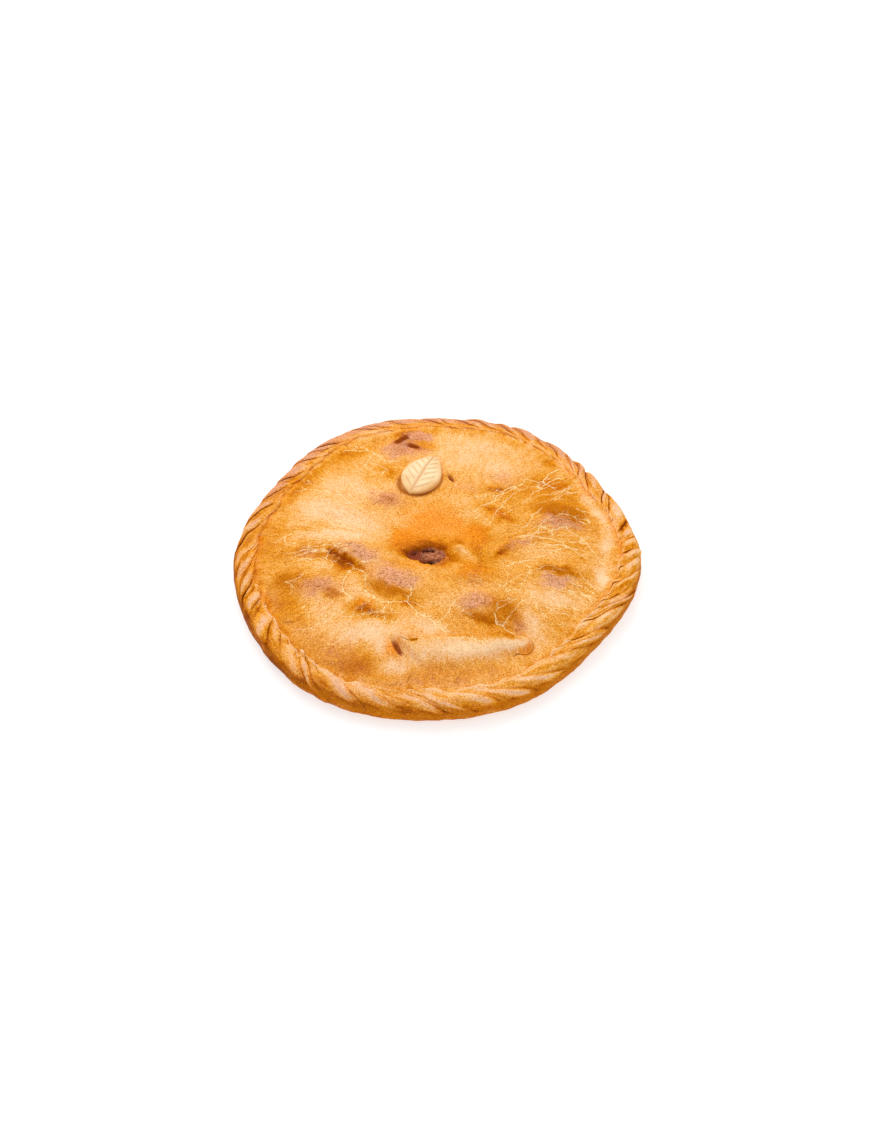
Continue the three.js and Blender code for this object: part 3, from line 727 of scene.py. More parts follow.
# places round the pie where the hem's colour differs: direction, reach, strength
hemPlaces = {
    "left": [(200, 40, 1.0)],
    "right": [(5, 40, 1.0)],
    "frontLeft": [(242, 36, 1.0)],
    "corners": [(228, 28, 1.0), (322, 30, 1.0)],
    # where a pinkish painted sheen lies on the hem's side
    "sheenedSide": [(130, 40, 1.0)],
    "bakedAll": [(150, 18, 0.06)],
    "bakedTop": [(340, 20, 0.06), (300, 15, 0.06), (30, 18, -0.06)],
    "bakedCrown": [(340, 20, 0.06), (302, 15, -0.1), (0, 18, -0.12)],
    "bakedInside": [(28, 22, -0.1), (122, 24, -0.12), (0, 14, -0.08)],
    "brownAll": [(150, 20, 0.15), (182, 20, 0.2)],
    "brownInside": [(225, 30, 0.25)],
    # where a pinkish painted sheen lies on the hem's crown
    "sheenCrown": [(30, 26, 0.2), (85, 20, 0.15)],
}


# colouring of the hem: pinkish painted highlights on the ridges, golden inner ends, a brown wall in front
# that is partly painted shade, and dark lines of painted shade in the creases
def hemMarks(column, section):
    fold, along = foldPlace(column, section)
    number = fold % hem["folds"]
    crease = np.round(fold + along) % hem["folds"]
    share = np.clip(foldShare(fold, column, section) * 1.3, 0, 1)
    front, back = atFront(column), atBack(column)
    at = {name: roundPie(column, rows) for name, rows in hemPlaces.items()}
    left, right, corner = at["left"], at["right"], at["corners"]

    # bands of the section
    band = between(section, 35 - 12 * front, 65 - 15 * front, 92, 122)
    fading = 90 + 20 * right + 30 * corner
    lines = between(section, 44 + 38 * corner, 64 + 38 * corner, fading, fading + 28 - 6 * corner)
    top = between(section, 65, 95, 128, 148)
    outside = between(section, 20, 50, 80, 105)
    crown = between(section, 55, 72, 90, 105)
    inside = smoothStep(95, 130, section)
    outer = (1 - smoothStep(20, 55, section)) * (1 - front)

    # ridges with a broad painted highlight, creases, flakes and partings
    ridge = share * (0.4 + 0.9 * scatter(number + 90))
    # the broad ridge is paler and pinkish: a painted highlight
    broad = ridge * hill((along - hem["ridge"] + 0.08) / 0.16) * band
    # dark lines in the creases: painted shade where the folds overlap
    darkAt = roundPie(column, hem["dark"])
    dark = (0.15 + darkAt) * (0.2 + 0.5 * right + (1 - 0.4 * right) * scatter(crease + 60))
    dark = dark * np.clip(share * 1.6 + right + corner, 0, 1)
    flake = flakeRise(fold, along, column, section)
    flakeSize = smoothStep(0.3, 0.8, scatter(np.round(fold + along + 0.5) % hem["folds"] + 340))
    ragged = raggedRise(fold, along, column, section)
    flaky = inPlace(column, hem["ragged"]) * hill((section - 126) / 16)
    parted = inPlace(column, hem["parted"])

    # the wall in front, up to an uneven edge: a browner bake, with painted shade where this side faces
    # away from the lamp
    edge = section + 24 * hill((along - hem["ridge"] + 0.12) / 0.3) - 10
    edge = edge + 8 * softNoise(fold + along, section / 40, 0.6, 38)
    wall = (1 - smoothStep(12, 50, edge)) * front
    brow = hill((edge - 26) / 20) * front

    bake = 0.11 - 0.1 * inside - 0.02 * back * smoothStep(60, 100, section)
    # paler ridges and flakes: painted highlights, with pale dough on the flakes
    bake = bake - (0.32 + 0.12 * front) * flake - (0.45 - 0.15 * front) * broad
    bake = bake + 0.06 * wall + 0.12 * left + 0.16 * outer + 0.08 * back * outside
    bake = bake + 0.22 * left * (1 - smoothStep(30, 80, section)) - 0.2 * at["frontLeft"] * top
    bake = bake + at["bakedAll"] + at["bakedTop"] * smoothStep(85, 110, section)
    bake = bake + at["bakedCrown"] * crown + at["bakedInside"] * smoothStep(95, 120, section)
    brown = 0.62 * wall + 0.7 * brow + at["brownAll"]
    brown = brown + at["brownInside"] * smoothStep(105, 130, section) * (1 - ragged)
    # painted sheen: pinkish highlights on the ridges, at the side, at the back and on the crown
    veil = (0.35 - 0.15 * front) * broad + 0.4 * at["sheenedSide"] * between(section, 40, 70, 95, 125)
    veil = veil + 0.2 * at["frontLeft"] + 0.4 * back * outside + at["sheenCrown"] * crown
    phase = tau * (along - 0.1 * right)
    strandX, strandY = ropePlace((fold + along) / hem["folds"] * tau)
    return {
        "bake": bake - 0.6 * ragged + 0.18 * flaky,
        "brown": brown,
        "veil": veil,
        # scorch and painted shade on the front wall
        "char": 0.5 * brow,
        "oil": (0.2 + 0.5 * inside * scatter(number + 120)) * (1 - 0.8 * front),
        "golden": 1 - 0.8 * front,
        # a thin painted highlight along each ridge
        "crest": np.clip(ridge * band * (1 - right), 0, 1),
        # painted shade in the partings, and a painted highlight beside them
        "partLine": np.clip(parted * lines * (0.4 + 0.6 * scatter(number + 410)), 0, 1),
        # a painted shadow line under the flakes at the tuck
        "flakeLine": np.clip((0.25 + darkAt) * flakeSize * hill((section - 131) / 9), 0, 1),
        # painted shade in the creases
        "foldLine": np.clip(dark * lines, 0, 1),
        "foldCos": np.cos(phase), "foldSin": np.sin(phase),
        "strandX": strandX, "strandY": strandY, "strandZ": section / 5,
        "crackSide": np.full_like(along, 3.0),
        **dict.fromkeys(["pit", "crease", "rays", "crackShow"], np.zeros_like(along)),
    }


# the crust: a square grid drawn out to a disc for the lid, rings for the hem, and two rings for the base
def crustMesh():
    side = np.linspace(-1, 1, cells + 1)
    gridX, gridY = np.meshgrid(side, side, indexing="ij")
    share = np.maximum(np.abs(gridX), np.abs(gridY))
    safe = np.maximum(share, 1e-9)
    east = gridX >= np.abs(gridY)
    north = ~east & (gridY >= np.abs(gridX))
    west = ~east & ~north & (-gridX >= np.abs(gridY))
    quarter = np.select([east, north, west], [0, 1, 2], 3)
    along = np.select([east, north, west], [gridY, -gridX, -gridY], gridX) / safe
    column = ((quarter + along / 2) * cells) % columns
    column = np.where(share > 1 - 1e-9, np.round(column) % columns, column)
    lidX, lidY, lidZ = lidPoint(share, column)
    number = np.arange((cells + 1) ** 2).reshape(cells + 1, cells + 1)
    rim = np.concatenate([number[-1, :-1], number[:0:-1, -1], number[0, :0:-1], number[:-1, 0]])
    rim = np.roll(rim, -(cells // 2))

    section = np.concatenate([
        np.linspace(hem["foot"], hem["foldsFrom"], hem["wallRings"], endpoint=False),
        np.linspace(hem["foldsFrom"], hem["tuck"], hem["foldRings"], endpoint=False),
    ])
    ringSection, ringColumn = np.meshgrid(section, np.arange(columns, dtype=float), indexing="ij")
    hemX, hemY, hemZ = hemPoint(ringColumn, ringSection)
    first = number.size
    hemNumber = first + np.arange(hemX.size).reshape(hemX.shape)
    wall = np.vstack([hemNumber, rim[None]])
    wall = np.hstack([wall, wall[:, :1]])

    innerNumber = first + hemX.size + np.arange(columns)
    middle = first + hemX.size + columns
    under = np.vstack([innerNumber, hemNumber[0]])
    under = np.hstack([under, under[:, :1]])
    fan = np.stack([under[0, 1:], under[0, :-1], np.full(columns, middle)], -1)

    points = np.vstack([
        np.stack([lidX, lidY, lidZ], -1).reshape(-1, 3),
        np.stack([hemX, hemY, hemZ], -1).reshape(-1, 3),
        np.stack([hemX[0] * 0.6, hemY[0] * 0.6, np.zeros(columns)], -1),
        [[0, 0, 0]],
    ])
    faces = []
    for part in (np.flip(quads(number), 1), quads(wall), quads(under), fan):
        faces += part.tolist()

    onLid = lidMarks(lidX, lidY)
    onEdge = hemMarks(column, np.full_like(column, hem["tuck"]))
    onHem = hemMarks(ringColumn, ringSection)
    bend = smoothStep(0.95, 1, share)
    attributes = {}
    for key in onHem:
        lidPart = onLid.get(key, onEdge[key])
        lidPart = lidPart + (onEdge[key] - lidPart) * bend
        attributes[key] = np.concatenate([lidPart.ravel(), onHem[key].ravel(), np.zeros(columns + 1)])
    attributes["onHem"] = np.concatenate([bend.ravel(), np.ones(hemX.size + columns + 1)])
    return points, faces, attributes


# a socket in a node tree: arithmetic on it adds Math nodes, and node() adds any other node
class Wire:
    def __init__(self, tree, socket=None):
        self.tree = tree
        self.socket = socket

    def node(self, kind, settings=None, sockets=None, out=0):
        made = self.tree.nodes.new("ShaderNode" + kind)
        for key, value in (settings or {}).items():
            if key == "stops":
                while len(made.color_ramp.elements) < len(value):
                    made.color_ramp.elements.new(1)
                for element, (position, tint) in zip(made.color_ramp.elements, value):
                    element.position = position
                    element.color = tint
            else:
                setattr(made, key, value)
        for key, value in (sockets or {}).items():
            if isinstance(value, Wire):
                self.tree.links.new(value.socket, made.inputs[key])
            else:
                made.inputs[key].default_value = value
        return Wire(self.tree, made.outputs[out] if made.outputs else None)

    def math(self, operation, *values):
        return self.node("Math", {"operation": operation}, dict(enumerate(values)))

    def vector(self, operation, *values, out=0):
        return self.node("VectorMath", {"operation": operation}, dict(enumerate(values)), out)

    def scaled(self, factor):
        return self.node("VectorMath", {"operation": "SCALE"}, {0: self, "Scale": factor})

    # a float attribute of the mesh
    def mark(self, name):
        return self.node("Attribute", {"attribute_name": name}, None, 2)

    # object coordinates
    def place(self):
        return self.node("TexCoord", None, None, 3)

    def __abs__(self):
        return self.math("ABSOLUTE", self)

    def __add__(self, other):
        return self.math("ADD", self, other)

    __radd__ = __add__

    def __sub__(self, other):
        return self.math("SUBTRACT", self, other)

    def __rsub__(self, other):
        return self.math("SUBTRACT", other, self)

    def __mul__(self, other):
        return self.math("MULTIPLY", self, other)

    __rmul__ = __mul__

    def __truediv__(self, other):
        return self.math("DIVIDE", self, other)

    # the larger of this value and another
    def most(self, other):
        return self.math("MAXIMUM", self, other)

    # smooth ramp of this value from 0 at low to 1 at high
    def ramp(self, low, high):
        settings = {"interpolation_type": "SMOOTHSTEP"}
        return self.node("MapRange", settings, {"Value": self, "From Min": low, "From Max": high})

    # a colour covered by another as far as share says
    def mix(self, lower, upper, share):
        return self.node("Mix", {"data_type": "RGBA"}, {0: share, 6: lower, 7: upper}, 2)

    def under(self, other, share):
        return self.mix(self, other, share)


# display colour of 0 to 255 as a linear one
def shade(red, green, blue):
    def linear(value):
        value = value / 255
        return value / 12.92 if value <= 0.04045 else ((value + 0.055) / 1.055) ** 2.4
    return (linear(red), linear(green), linear(blue), 1.0)


# soft noise in a material, about 0, of grain size in millimetres
def grain(desk, place, size, detail=3.0, roughness=0.55):
    sockets = {"Vector": place, "Scale": 1000 / size, "Detail": detail, "Roughness": roughness}
    return desk.node("TexNoise", {"noise_dimensions": "3D"}, sockets) - 0.5


# a place moved about by noise of a grain size, as far as reach; both in millimetres
def wandering(desk, place, size, reach, detail=3.0):
    sway = desk.node("TexNoise", None, {"Vector": place, "Scale": 1000 / size, "Detail": detail}, 1)
    sway = desk.vector("SUBTRACT", sway, (0.5, 0.5, 0.5))
    return desk.vector("ADD", place, sway.scaled(reach / 1000))


# distance in millimetres to the nearest crack of a warped network of cells, stretched along x
def crackDistance(desk, place, cell, warp, stretch=1.0):
    moved = wandering(desk, place, cell * 0.9, warp, 4.0)
    moved = desk.vector("MULTIPLY", moved, (1 / stretch, 1, 1))
    settings = {"feature": "DISTANCE_TO_EDGE", "voronoi_dimensions": "2D"}
    return desk.node("TexVoronoi", settings, {"Vector": moved, "Scale": 1000 / cell}) * cell


# the place on a drum round a middle, so that lines drawn there run outwards: turns sets how close they are
def drum(desk, place, middle, turns, length):
    offset = desk.vector("SUBTRACT", place, (middle[0] / 1000, middle[1] / 1000, 0))
    offset = desk.vector("MULTIPLY", offset, (1, 1, 0))
    far = desk.vector("LENGTH", offset, out=1)
    around = desk.vector("NORMALIZE", offset).scaled(turns)
    depth = desk.node("CombineXYZ", None, {2: far * (1000 / length)})
    return desk.vector("ADD", around, depth)


# a material with its node tree emptied, and a Wire to build it on
def newMaterial(name):
    material = bpy.data.materials.new(name)
    material.use_nodes = True
    material.node_tree.nodes.clear()
    return material, Wire(material.node_tree)


# the surface shader: what varies goes to colour, roughness and bump, and the rest is fixed
def finishMaterial(desk, colour, roughness, height, fixed):
    bump = desk.node("Bump", None, {"Strength": 1.0, "Distance": 0.001, "Height": height})
    sockets = {"Base Color": colour, "Roughness": roughness, "Normal": bump, **fixed}
    surface = desk.node("BsdfPrincipled", None, sockets)
    desk.node("OutputMaterial", None, {"Surface": surface})


crustLook = {
    "raysFrom": (-4, -14),  # the point from which the fine lines run outwards
    # noise: grain size in millimetres, detail, roughness
    "grains": {
        "mottle": (16, 5, 0.55), "crumb": (3.2, 3, 0.55), "speck": (1.2, 2, 0.55), "dust": (1.0, 2, 0.7),
    },
    # from pale dough to scorched crust
    "stops": [
        (0.0, shade(255, 213, 164)),
        (0.2, shade(251, 200, 146)),
        (0.38, shade(247, 183, 109)),
        (0.52, shade(238, 164, 69)),
        (0.66, shade(225, 142, 29)),
        (0.8, shade(206, 116, 8)),
        (0.92, shade(172, 82, 3)),
        (1.0, shade(136, 58, 4)),
    ],
    # what covers the tones, from first to last: colour and strength
    "covers": {
        "oil": (shade(250, 144, 34), 0.7),
        "golden": (shade(252, 166, 42), 0.6),
        # a pinkish painted sheen
        "veil": (shade(226, 158, 120), 0.88),
        # scorched spots and painted shade
        "brown": (shade(194, 109, 10), 0.92),
        "crack": (shade(254, 220, 160), 0.85),
        "wrinkle": (shade(140, 76, 34), 0.65),
        # painted shade in thin creases and beside the leaf
        "crease": (shade(134, 57, 2), 0.85),
        # painted shade in the creases and under the flakes, and the dark cracks
        "fold": (shade(134, 57, 2), 1.0),
        # painted shade in the partings
        "parting": (shade(134, 57, 2), 0.75),
        # painted shade inside the tears
        "pit": (shade(150, 64, 22), 0.85),
    },
    "fixed": {"Specular IOR Level": 0.012, "Specular Tint": (1.0, 0.65, 0.3, 1.0)},
}


# baking tones with painted shade and painted highlights, covered by oil, golden flecks, painted sheen
# and brown spots that are partly painted shade, with cracks and creases drawn in, the creases as painted
# shade
def crustMaterial():
    material, desk = newMaterial("eggWashedCrust")
    place = desk.place()
    mottle, crumb, speck, dust = (grain(desk, place, *row) for row in crustLook["grains"].values())
    uneven = crumb * 0.5 + speck * 0.8 + mottle * 0.5
    onHem = desk.mark("onHem")
    flat = 1 - onHem

    # streaks and flecks along the strands of the hem, whose places are counted in cells of noise
    strandX, strandY, strandZ = (desk.mark("strand" + axis) for axis in "XYZ")
    strand = desk.node("CombineXYZ", None, {0: strandX / 6, 1: strandY / 6, 2: strandZ / 5})
    streak = grain(desk, strand, 1000, 4, 0.5) * onHem
    strand = desk.node("CombineXYZ", None, {0: strandX / 10, 1: strandY / 10, 2: strandZ / 5 + 40})
    fleck = grain(desk, strand, 1000, 4, 0.6)

    # lines along the folds, with painted shade in creases and partings and painted highlights on ridges:
    # distances in millimetres, and widths that follow the marks
    phase = desk.math("ARCTAN2", desk.mark("foldSin"), desk.mark("foldCos"))
    apart = abs(phase * 3 + crumb * 1.2)
    parting = abs((phase - tau * hem["partAt"]) * 3 + crumb * 1.4)
    halfway = abs((abs(phase) - pi) * 3) + crumb * 1.2
    away = abs((phase + 1.9) * 3.5 + crumb * 2.4)
    beside = abs((phase - 1.15) * 3.5 + crumb * 2.0)
    foldLine, partLine = desk.mark("foldLine"), desk.mark("partLine")
    # a painted highlight along each ridge and beside each parting
    crest = (1 - away.ramp(0.4, 3.0)) * desk.mark("crest")
    crest = crest.most((1 - beside.ramp(0.3, 2.0)) * partLine * 0.8)
    # painted shadow lines under the flakes
    flakes = (1 - halfway.ramp(0.1, 0.75)) * desk.mark("flakeLine").ramp(0.1, 0.5)
    # painted shade: a dark line in each crease
    width = foldLine * (1 + crumb) * 0.85
    sockets = {"Value": apart, "From Min": width * 0.4, "From Max": width + 0.05}
    folds = (1 - desk.node("MapRange", None, sockets)) * foldLine.ramp(0.0, 0.25)
    # painted shade: the tone is darkened round the creases and partings
    shaded = (1 - apart.ramp(0.0, 2.6)) * (foldLine * 0.6 + 0.2) * onHem
    shaded = shaded.most((1 - parting.ramp(0.0, 2.2)) * partLine * 0.5)
    # painted shade in the partings
    parting = (1 - parting.ramp(0.1, 0.6)) * partLine.ramp(0.25, 0.8)

    # baking tones with painted shade round the creases and a painted highlight on the ridges, then painted
    # sheen and brown spots that are partly painted shade
    swept = drum(desk, wandering(desk, place, 20, 10), crustLook["raysFrom"], 60, 13)
    swept = grain(desk, swept, 1000, 2, 0.5) * flat
    # burnt crust and painted shade darken the tone
    char = (desk.mark("char") + uneven * 0.4).ramp(0.05, 1.3)
    bare = 1 - char.ramp(0.08, 0.4)
    tone = 0.492 + desk.mark("bake") * 0.9 + mottle * 0.4 + crumb * 0.25 + speck * 0.3
    tone = tone + streak * 0.95 + shaded * 0.55 + swept * 0.35 + char * 0.55 - crest * 0.25
    # painted sheen, kept off the darkest crust
    veil = (desk.mark("veil") + crest * 0.25 + uneven * 0.9 - streak * 0.7).ramp(0.0, 1.0) * bare
    brown = (desk.mark("brown") + uneven * 0.8).ramp(0.0, 0.95)

    # cracks: drawn ones, rays from the vent, and a net of the finest; then wrinkles in the painted sheen
    side = abs(desk.mark("crackSide") + crumb * 0.8 + speck * 0.2)
    shows = desk.mark("crackShow")
    drawn = (1 - side.ramp(0.1, abs(shows) * 0.35 + 0.25)) * shows
    drawn = drawn * (speck.ramp(-0.25, 0.1) * 0.4 + 0.6)
    # dark cracks, some standing for painted shade in thin creases and under the pleat's tip
    darkCracksAndShade = (drawn * -0.8).most(0.0)
    moved = drum(desk, wandering(desk, place, 14, 12), crustLook["raysFrom"], 13, 42)
    settings = {"feature": "DISTANCE_TO_EDGE", "voronoi_dimensions": "3D"}
    rays = 1 - desk.node("TexVoronoi", settings, {"Vector": moved, "Scale": 1.0}).ramp(0.012, 0.07)
    rays = rays * (desk.mark("rays") + uneven * 0.5).ramp(0.1, 0.7) * crumb.ramp(-0.2, 0.05)
    net = (1 - crackDistance(desk, place, 8, 6).ramp(0.05, 0.35)) * crumb.ramp(-0.1, 0.1)
    net = net * grain(desk, place, 34, 2).ramp(-0.08, 0.1) * 0.5
    lines = drawn.most(0.0) + (rays + net) * 0.6 * bare * (1 - brown * 0.7)
    lines = lines * flat * (1 - char * 0.8)
    wrinkle = (1 - crackDistance(desk, place, 4, 6, 2.2).ramp(0.06, 0.36)) * flat * crumb.ramp(-0.1, 0.1)
    wrinkle = wrinkle * (veil.ramp(0.3, 1.0) + 0.25 * (1 - tone.ramp(0.1, 0.4)))
    covers = {
        "oil": (desk.mark("oil") + mottle * 0.5).ramp(0.1, 1.0),
        "golden": fleck.ramp(0.0, 0.18) * desk.mark("golden") * (1 - crest * 0.8),
        "veil": veil,
        "brown": brown * bare,
        "crack": lines.ramp(0.0, 0.85),
        "wrinkle": wrinkle,
        "crease": desk.mark("crease"),
        "fold": (folds * 0.9).most(flakes * 0.8).most(darkCracksAndShade),
        "parting": parting,
        "pit": desk.mark("pit"),
    }
    colour = desk.node("ValToRGB", {"stops": crustLook["stops"]}, {"Fac": tone})
    for name, (tint, strength) in crustLook["covers"].items():
        colour = colour.under(tint, covers[name] * strength)

    # fine specks, strongest in the blue
    spots = (dust * 2.8 + speck * 0.3) * (0.45 + 0.55 * tone.ramp(0.1, 0.5))
    spots = desk.node("CombineXYZ", None, {0: 1 + spots * 0.6, 1: 1 + spots, 2: 1 + spots * 2})
    colour = desk.vector("MULTIPLY", colour, spots)
    height = speck * 0.35 + crumb * 0.5 - lines * 0.12 - wrinkle * 0.15 - streak * 0.6 - folds * 0.3
    finishMaterial(desk, colour, 0.5 + speck * 0.3, height, crustLook["fixed"])
    return material


leafLook = {
    "pale": shade(253, 224, 176), "warm": shade(238, 184, 116), "vein": shade(214, 150, 86),
    "fixed": {"Specular IOR Level": 0.25},
}


# pale dough, warmer in patches and at the rim, where it is browned and has painted shade on its sides,
# with its veins darker
def leafMaterial():
    material, desk = newMaterial("paleDough")
    broad = grain(desk, desk.place(), 12, 3)
    fine = grain(desk, desk.place(), 0.7, 2)
    warm = (broad * 0.7 + fine * 0.5 + desk.mark("rim") * 0.5).ramp(-0.05, 0.5)
    colour = desk.mix(leafLook["pale"], leafLook["warm"], warm)
    colour = colour.under(leafLook["vein"], desk.mark("vein") * 0.6)
    finishMaterial(desk, colour, 0.45 + fine * 0.2, fine * 0.3, leafLook["fixed"])
    return material


fillingLook = {
    # the gap colour is black painted shade, and the stain colour painted shade of the well at the
    # filling's left
    "dark": shade(112, 44, 16), "light": shade(208, 128, 84), "gap": shade(38, 12, 4),
    "crisp": shade(226, 130, 18), "stain": shade(142, 54, 6),
    "fixed": {"Specular IOR Level": 0.2},
}


# dark and light chunks, with painted shade at the left side, crisp at the other, and black painted shade
# in the gaps
def fillingMaterial():
    material, desk = newMaterial("cookedFilling")
    chunk = grain(desk, desk.place(), 3, 3)
    dust = grain(desk, desk.place(), 1.1, 2, 0.7)
    light = (chunk + dust * 1.9 + desk.mark("heap") * 0.3).ramp(-0.15, 0.5)
    colour = desk.mix(fillingLook["dark"], fillingLook["light"], light)
    colour = colour.under(fillingLook["stain"], (desk.mark("stain") + chunk).ramp(0.2, 0.8) * 0.9)
    colour = colour.under(fillingLook["crisp"], (desk.mark("edge") + chunk * 1.2).ramp(0.2, 0.8) * 0.9)
    colour = colour.under(fillingLook["gap"], desk.mark("gap"))
    finishMaterial(desk, colour, 0.4 + chunk * 0.2, chunk * 1.2 + dust * 0.4, fillingLook["fixed"])
    return material


# a ball's grid of points, poles closed: rows run from the bottom pole to the top pole
def ballGrid(rings, sides):
    down = np.linspace(-pi / 2, pi / 2, rings + 1)[1:-1]
    around = np.arange(sides) / sides * tau
    tilt, turn = np.meshgrid(down, around, indexing="ij")
    x = np.concatenate([(np.cos(tilt) * np.cos(turn)).ravel(), [0, 0]])
    y = np.concatenate([(np.cos(tilt) * np.sin(turn)).ravel(), [0, 0]])
    z = np.concatenate([np.sin(tilt).ravel(), [-1, 1]])
    number = np.arange(tilt.size).reshape(tilt.shape)
    loop = np.hstack([number, number[:, :1]])
    bottom = np.stack([loop[0, 1:], loop[0, :-1], np.full(sides, tilt.size)], -1)
    top = np.stack([loop[-1, :-1], loop[-1, 1:], np.full(sides, tilt.size + 1)], -1)
    return x, y, z, quads(loop).tolist() + bottom.tolist() + top.tolist()


leaf = {
    "x": -11.0, "y": 70.0, "turn": 64.0,
    "length": 50.0, "width": 30.0, "thickness": 6.0, "edge": 2.0,
    "bow": 1.2, "gap": 0.1,  # sideways bend, and space under it
    "veinStep": 7.0, "veinWidth": 0.8, "veinDepth": 1.1,
    "rings": 120, "sides": 240,
}


# the leaf: a flattened ball with pointed ends and scored veins, whose underside follows the lid
def leafMesh():
    ballX, ballY, ballZ, faces = ballGrid(leaf["rings"], leaf["sides"])
    chord = np.sqrt(np.maximum(1 - ballX ** 2, 1e-9))
    across = np.clip(ballY / chord, -1, 1)
    aside = np.abs(across)
    halfWidth = leaf["width"] / 2 * chord ** 1.6 * (1 - 0.3 * ballX)
    u = ballX * leaf["length"] / 2
    v = across * halfWidth + leaf["bow"] * np.sin(ballX * 2.2)
    x, y = placed(u, v, leaf)
    under = lidHeightAt(x, y) + leaf["gap"]
    midrib = hill(across / 0.09) * smoothStep(0.0, 0.5, chord)
    slant = (u - 0.9 * aside * halfWidth) / leaf["veinStep"]
    side = hill((slant - np.round(slant)) * leaf["veinStep"] / leaf["veinWidth"])
    side = side * between(aside, 0.1, 0.2, 0.65, 0.85) * smoothStep(0.3, 0.6, chord)
    vein = np.clip(midrib + 0.7 * side, 0, 1)
    body = leaf["edge"] + (leaf["thickness"] - leaf["edge"]) * np.sqrt(np.maximum(ballZ, 0))
    body = body - leaf["veinDepth"] * vein
    z = np.where(ballZ > -1e-6, under + body * np.sqrt(chord), under)
    return np.stack([x, y, z], -1), faces, {"vein": vein * (ballZ > 0), "rim": 1 - np.maximum(ballZ, 0)}


# gaps at the filling's edge, sunk and painted black as shade: x, y, half length, half width, turn,
# strength
fillingGaps = [
    (-7, -9, 4.5, 1.5, -8, 1.4), (-7, -20.5, 5.0, 1.6, 5, 1.4), (-17, -10, 3.0, 2.0, 30, 0.5),
]

# the filling that shows in the vent
plug = {
    "rings": 70, "sides": 160,
    "over": 1.05,  # its size against the vent's
    "sunk": 3.0,  # below the lid
    "depth": 5.0, "crown": 0.6,
    "heap": 2.4, "heapX": -3.0, "heapY": -14.0, "heapReach": 9.0,
    "gapDepth": 3.0,
    # outside the next oval the filling is browned at the right and given painted shade at the left
    "edgeX": -3.5, "edgeY": -13.5, "edgeLong": 10.0, "edgeWide": 8.0,  # oval outside which it is browned
}


# the filling: a ball squared to the vent's oval, heaped in its middle and lumpy on top, with dark gaps
def fillingMesh():
    ballX, ballY, ballZ, faces = ballGrid(plug["rings"], plug["sides"])
    x, y = placed(ballX * vent["long"] * plug["over"], ballY * vent["wide"] * plug["over"], vent)
    top = lidHeightAt(np.array(vent["x"]), np.array(vent["y"])) - plug["sunk"]
    heap = hill(np.hypot(x - plug["heapX"], y - plug["heapY"]) / plug["heapReach"])
    gap = ovals(x, y, fillingGaps)
    upper = plug["crown"] * ballZ + plug["heap"] * heap - plug["gapDepth"] * gap
    upper = upper + 1.1 * softNoise(x, y, 5, 11) + 0.9 * softNoise(x, y, 2.4, 12)
    z = top + np.where(ballZ > 0, upper, plug["depth"] * ballZ)
    reach = np.hypot((x - plug["edgeX"]) / plug["edgeLong"], (y - plug["edgeY"]) / plug["edgeWide"])
    # browned at the right, painted shade at the left
    brownedAndShaded = smoothStep(0.8, 1.1, reach)
    right = smoothStep(-6, 2, x)
    marks = {"heap": heap, "gap": np.clip(gap, 0, 1)}
    marks.update({"edge": brownedAndShaded * right, "stain": brownedAndShaded * (1 - right)})
    return np.stack([x, y, z], -1), faces, marks


crustPoints, crustFaces, crustAttributes = crustMesh()
middle = (crustPoints.min(0) + crustPoints.max(0)) / 2 * [1, 1, 0]
crust = makePiece("crust_baked", crustPoints - middle, crustFaces, crustAttributes, crustMaterial())
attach(crust, "root")
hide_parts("crust")
print("crust:", len(crustPoints), "points, shifted by", middle.round(2))

leafPoints, leafFaces, leafAttributes = leafMesh()
pastryLeaf = makePiece("leaf_pastry", leafPoints - middle, leafFaces, leafAttributes, leafMaterial())
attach(pastryLeaf, "root")
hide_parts("leaf")
print("leaf:", len(leafPoints), "points")

fillingPoints, fillingFaces, fillingAttributes = fillingMesh()
fillingPoints = fillingPoints - middle
filling = makePiece("filling_cooked", fillingPoints, fillingFaces, fillingAttributes, fillingMaterial())
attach(filling, "root")
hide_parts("filling")
print("filling:", len(fillingPoints), "points")

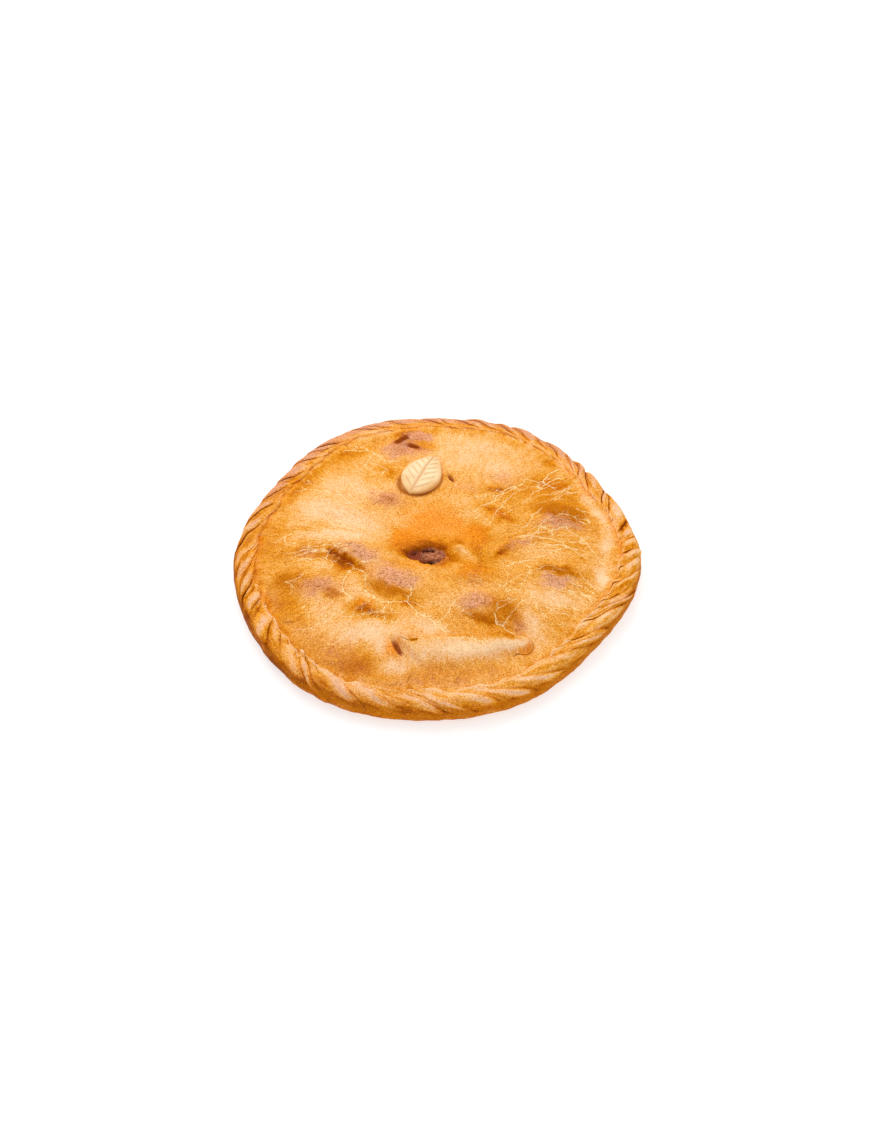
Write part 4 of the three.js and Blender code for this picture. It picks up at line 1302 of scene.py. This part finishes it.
stage = {
    "floorSize": 8.0, "floorDrop": 0.0005,
    "floorColour": (0.5, 0.5, 0.5, 1.0),
    "floorGlow": 0.62,
    "worldStrength": 0.75,
    "keyPlace": (-0.25, 0.85, 1.45),
    "keySize": 1.5,
    "keyPower": 15.0,
    "target": (-0.0018, -0.0095, 0.0115),
    "elevation": 46.0,
    "distance": 1.3,
    "lens": 56.3, "sensor": 36.0,
}


# turn of a lamp or camera that looks along a direction
def aimed(direction):
    return direction.to_track_quat("-Z", "Y").to_euler()


# a pale floor that glows a little, an even white sky, one soft lamp and the camera
def buildStage():
    half = stage["floorSize"] / 2
    corners = [(x * half, y * half, -stage["floorDrop"]) for x, y in ((-1, -1), (1, -1), (1, 1), (-1, 1))]
    mesh = bpy.data.meshes.new("floor")
    mesh.from_pydata(corners, [], [(0, 1, 2, 3)])
    material, desk = newMaterial("paleFloor")
    surface = desk.node("BsdfPrincipled", None, {
        "Base Color": stage["floorColour"], "Roughness": 0.8,
        "Emission Color": (1.0, 1.0, 1.0, 1.0), "Emission Strength": stage["floorGlow"],
    })
    desk.node("OutputMaterial", None, {"Surface": surface})
    mesh.materials.append(material)
    floor = addObject("floor", mesh)

    world = bpy.data.worlds.new("studio")
    world.use_nodes = True
    sky = world.node_tree.nodes["Background"]
    sky.inputs["Color"].default_value = (1.0, 1.0, 1.0, 1.0)
    sky.inputs["Strength"].default_value = stage["worldStrength"]
    bpy.context.scene.world = world

    lamp = bpy.data.lights.new("softbox", "AREA")
    lamp.shape = "SQUARE"
    lamp.size = stage["keySize"]
    lamp.energy = stage["keyPower"]
    key = addObject("softbox", lamp)
    key.location = stage["keyPlace"]
    key.rotation_euler = aimed(-Vector(stage["keyPlace"]))

    lens = bpy.data.cameras.new("camera")
    lens.lens = stage["lens"]
    lens.sensor_width = stage["sensor"]
    camera = addObject("camera", lens)
    tilt = radians(stage["elevation"])
    back = Vector((0.0, -cos(tilt), sin(tilt)))
    camera.location = Vector(stage["target"]) + back * stage["distance"]
    camera.rotation_euler = aimed(-back)
    bpy.context.scene.camera = camera
    bpy.context.scene.view_settings.view_transform = "Standard"


buildStage()
print("stage built")
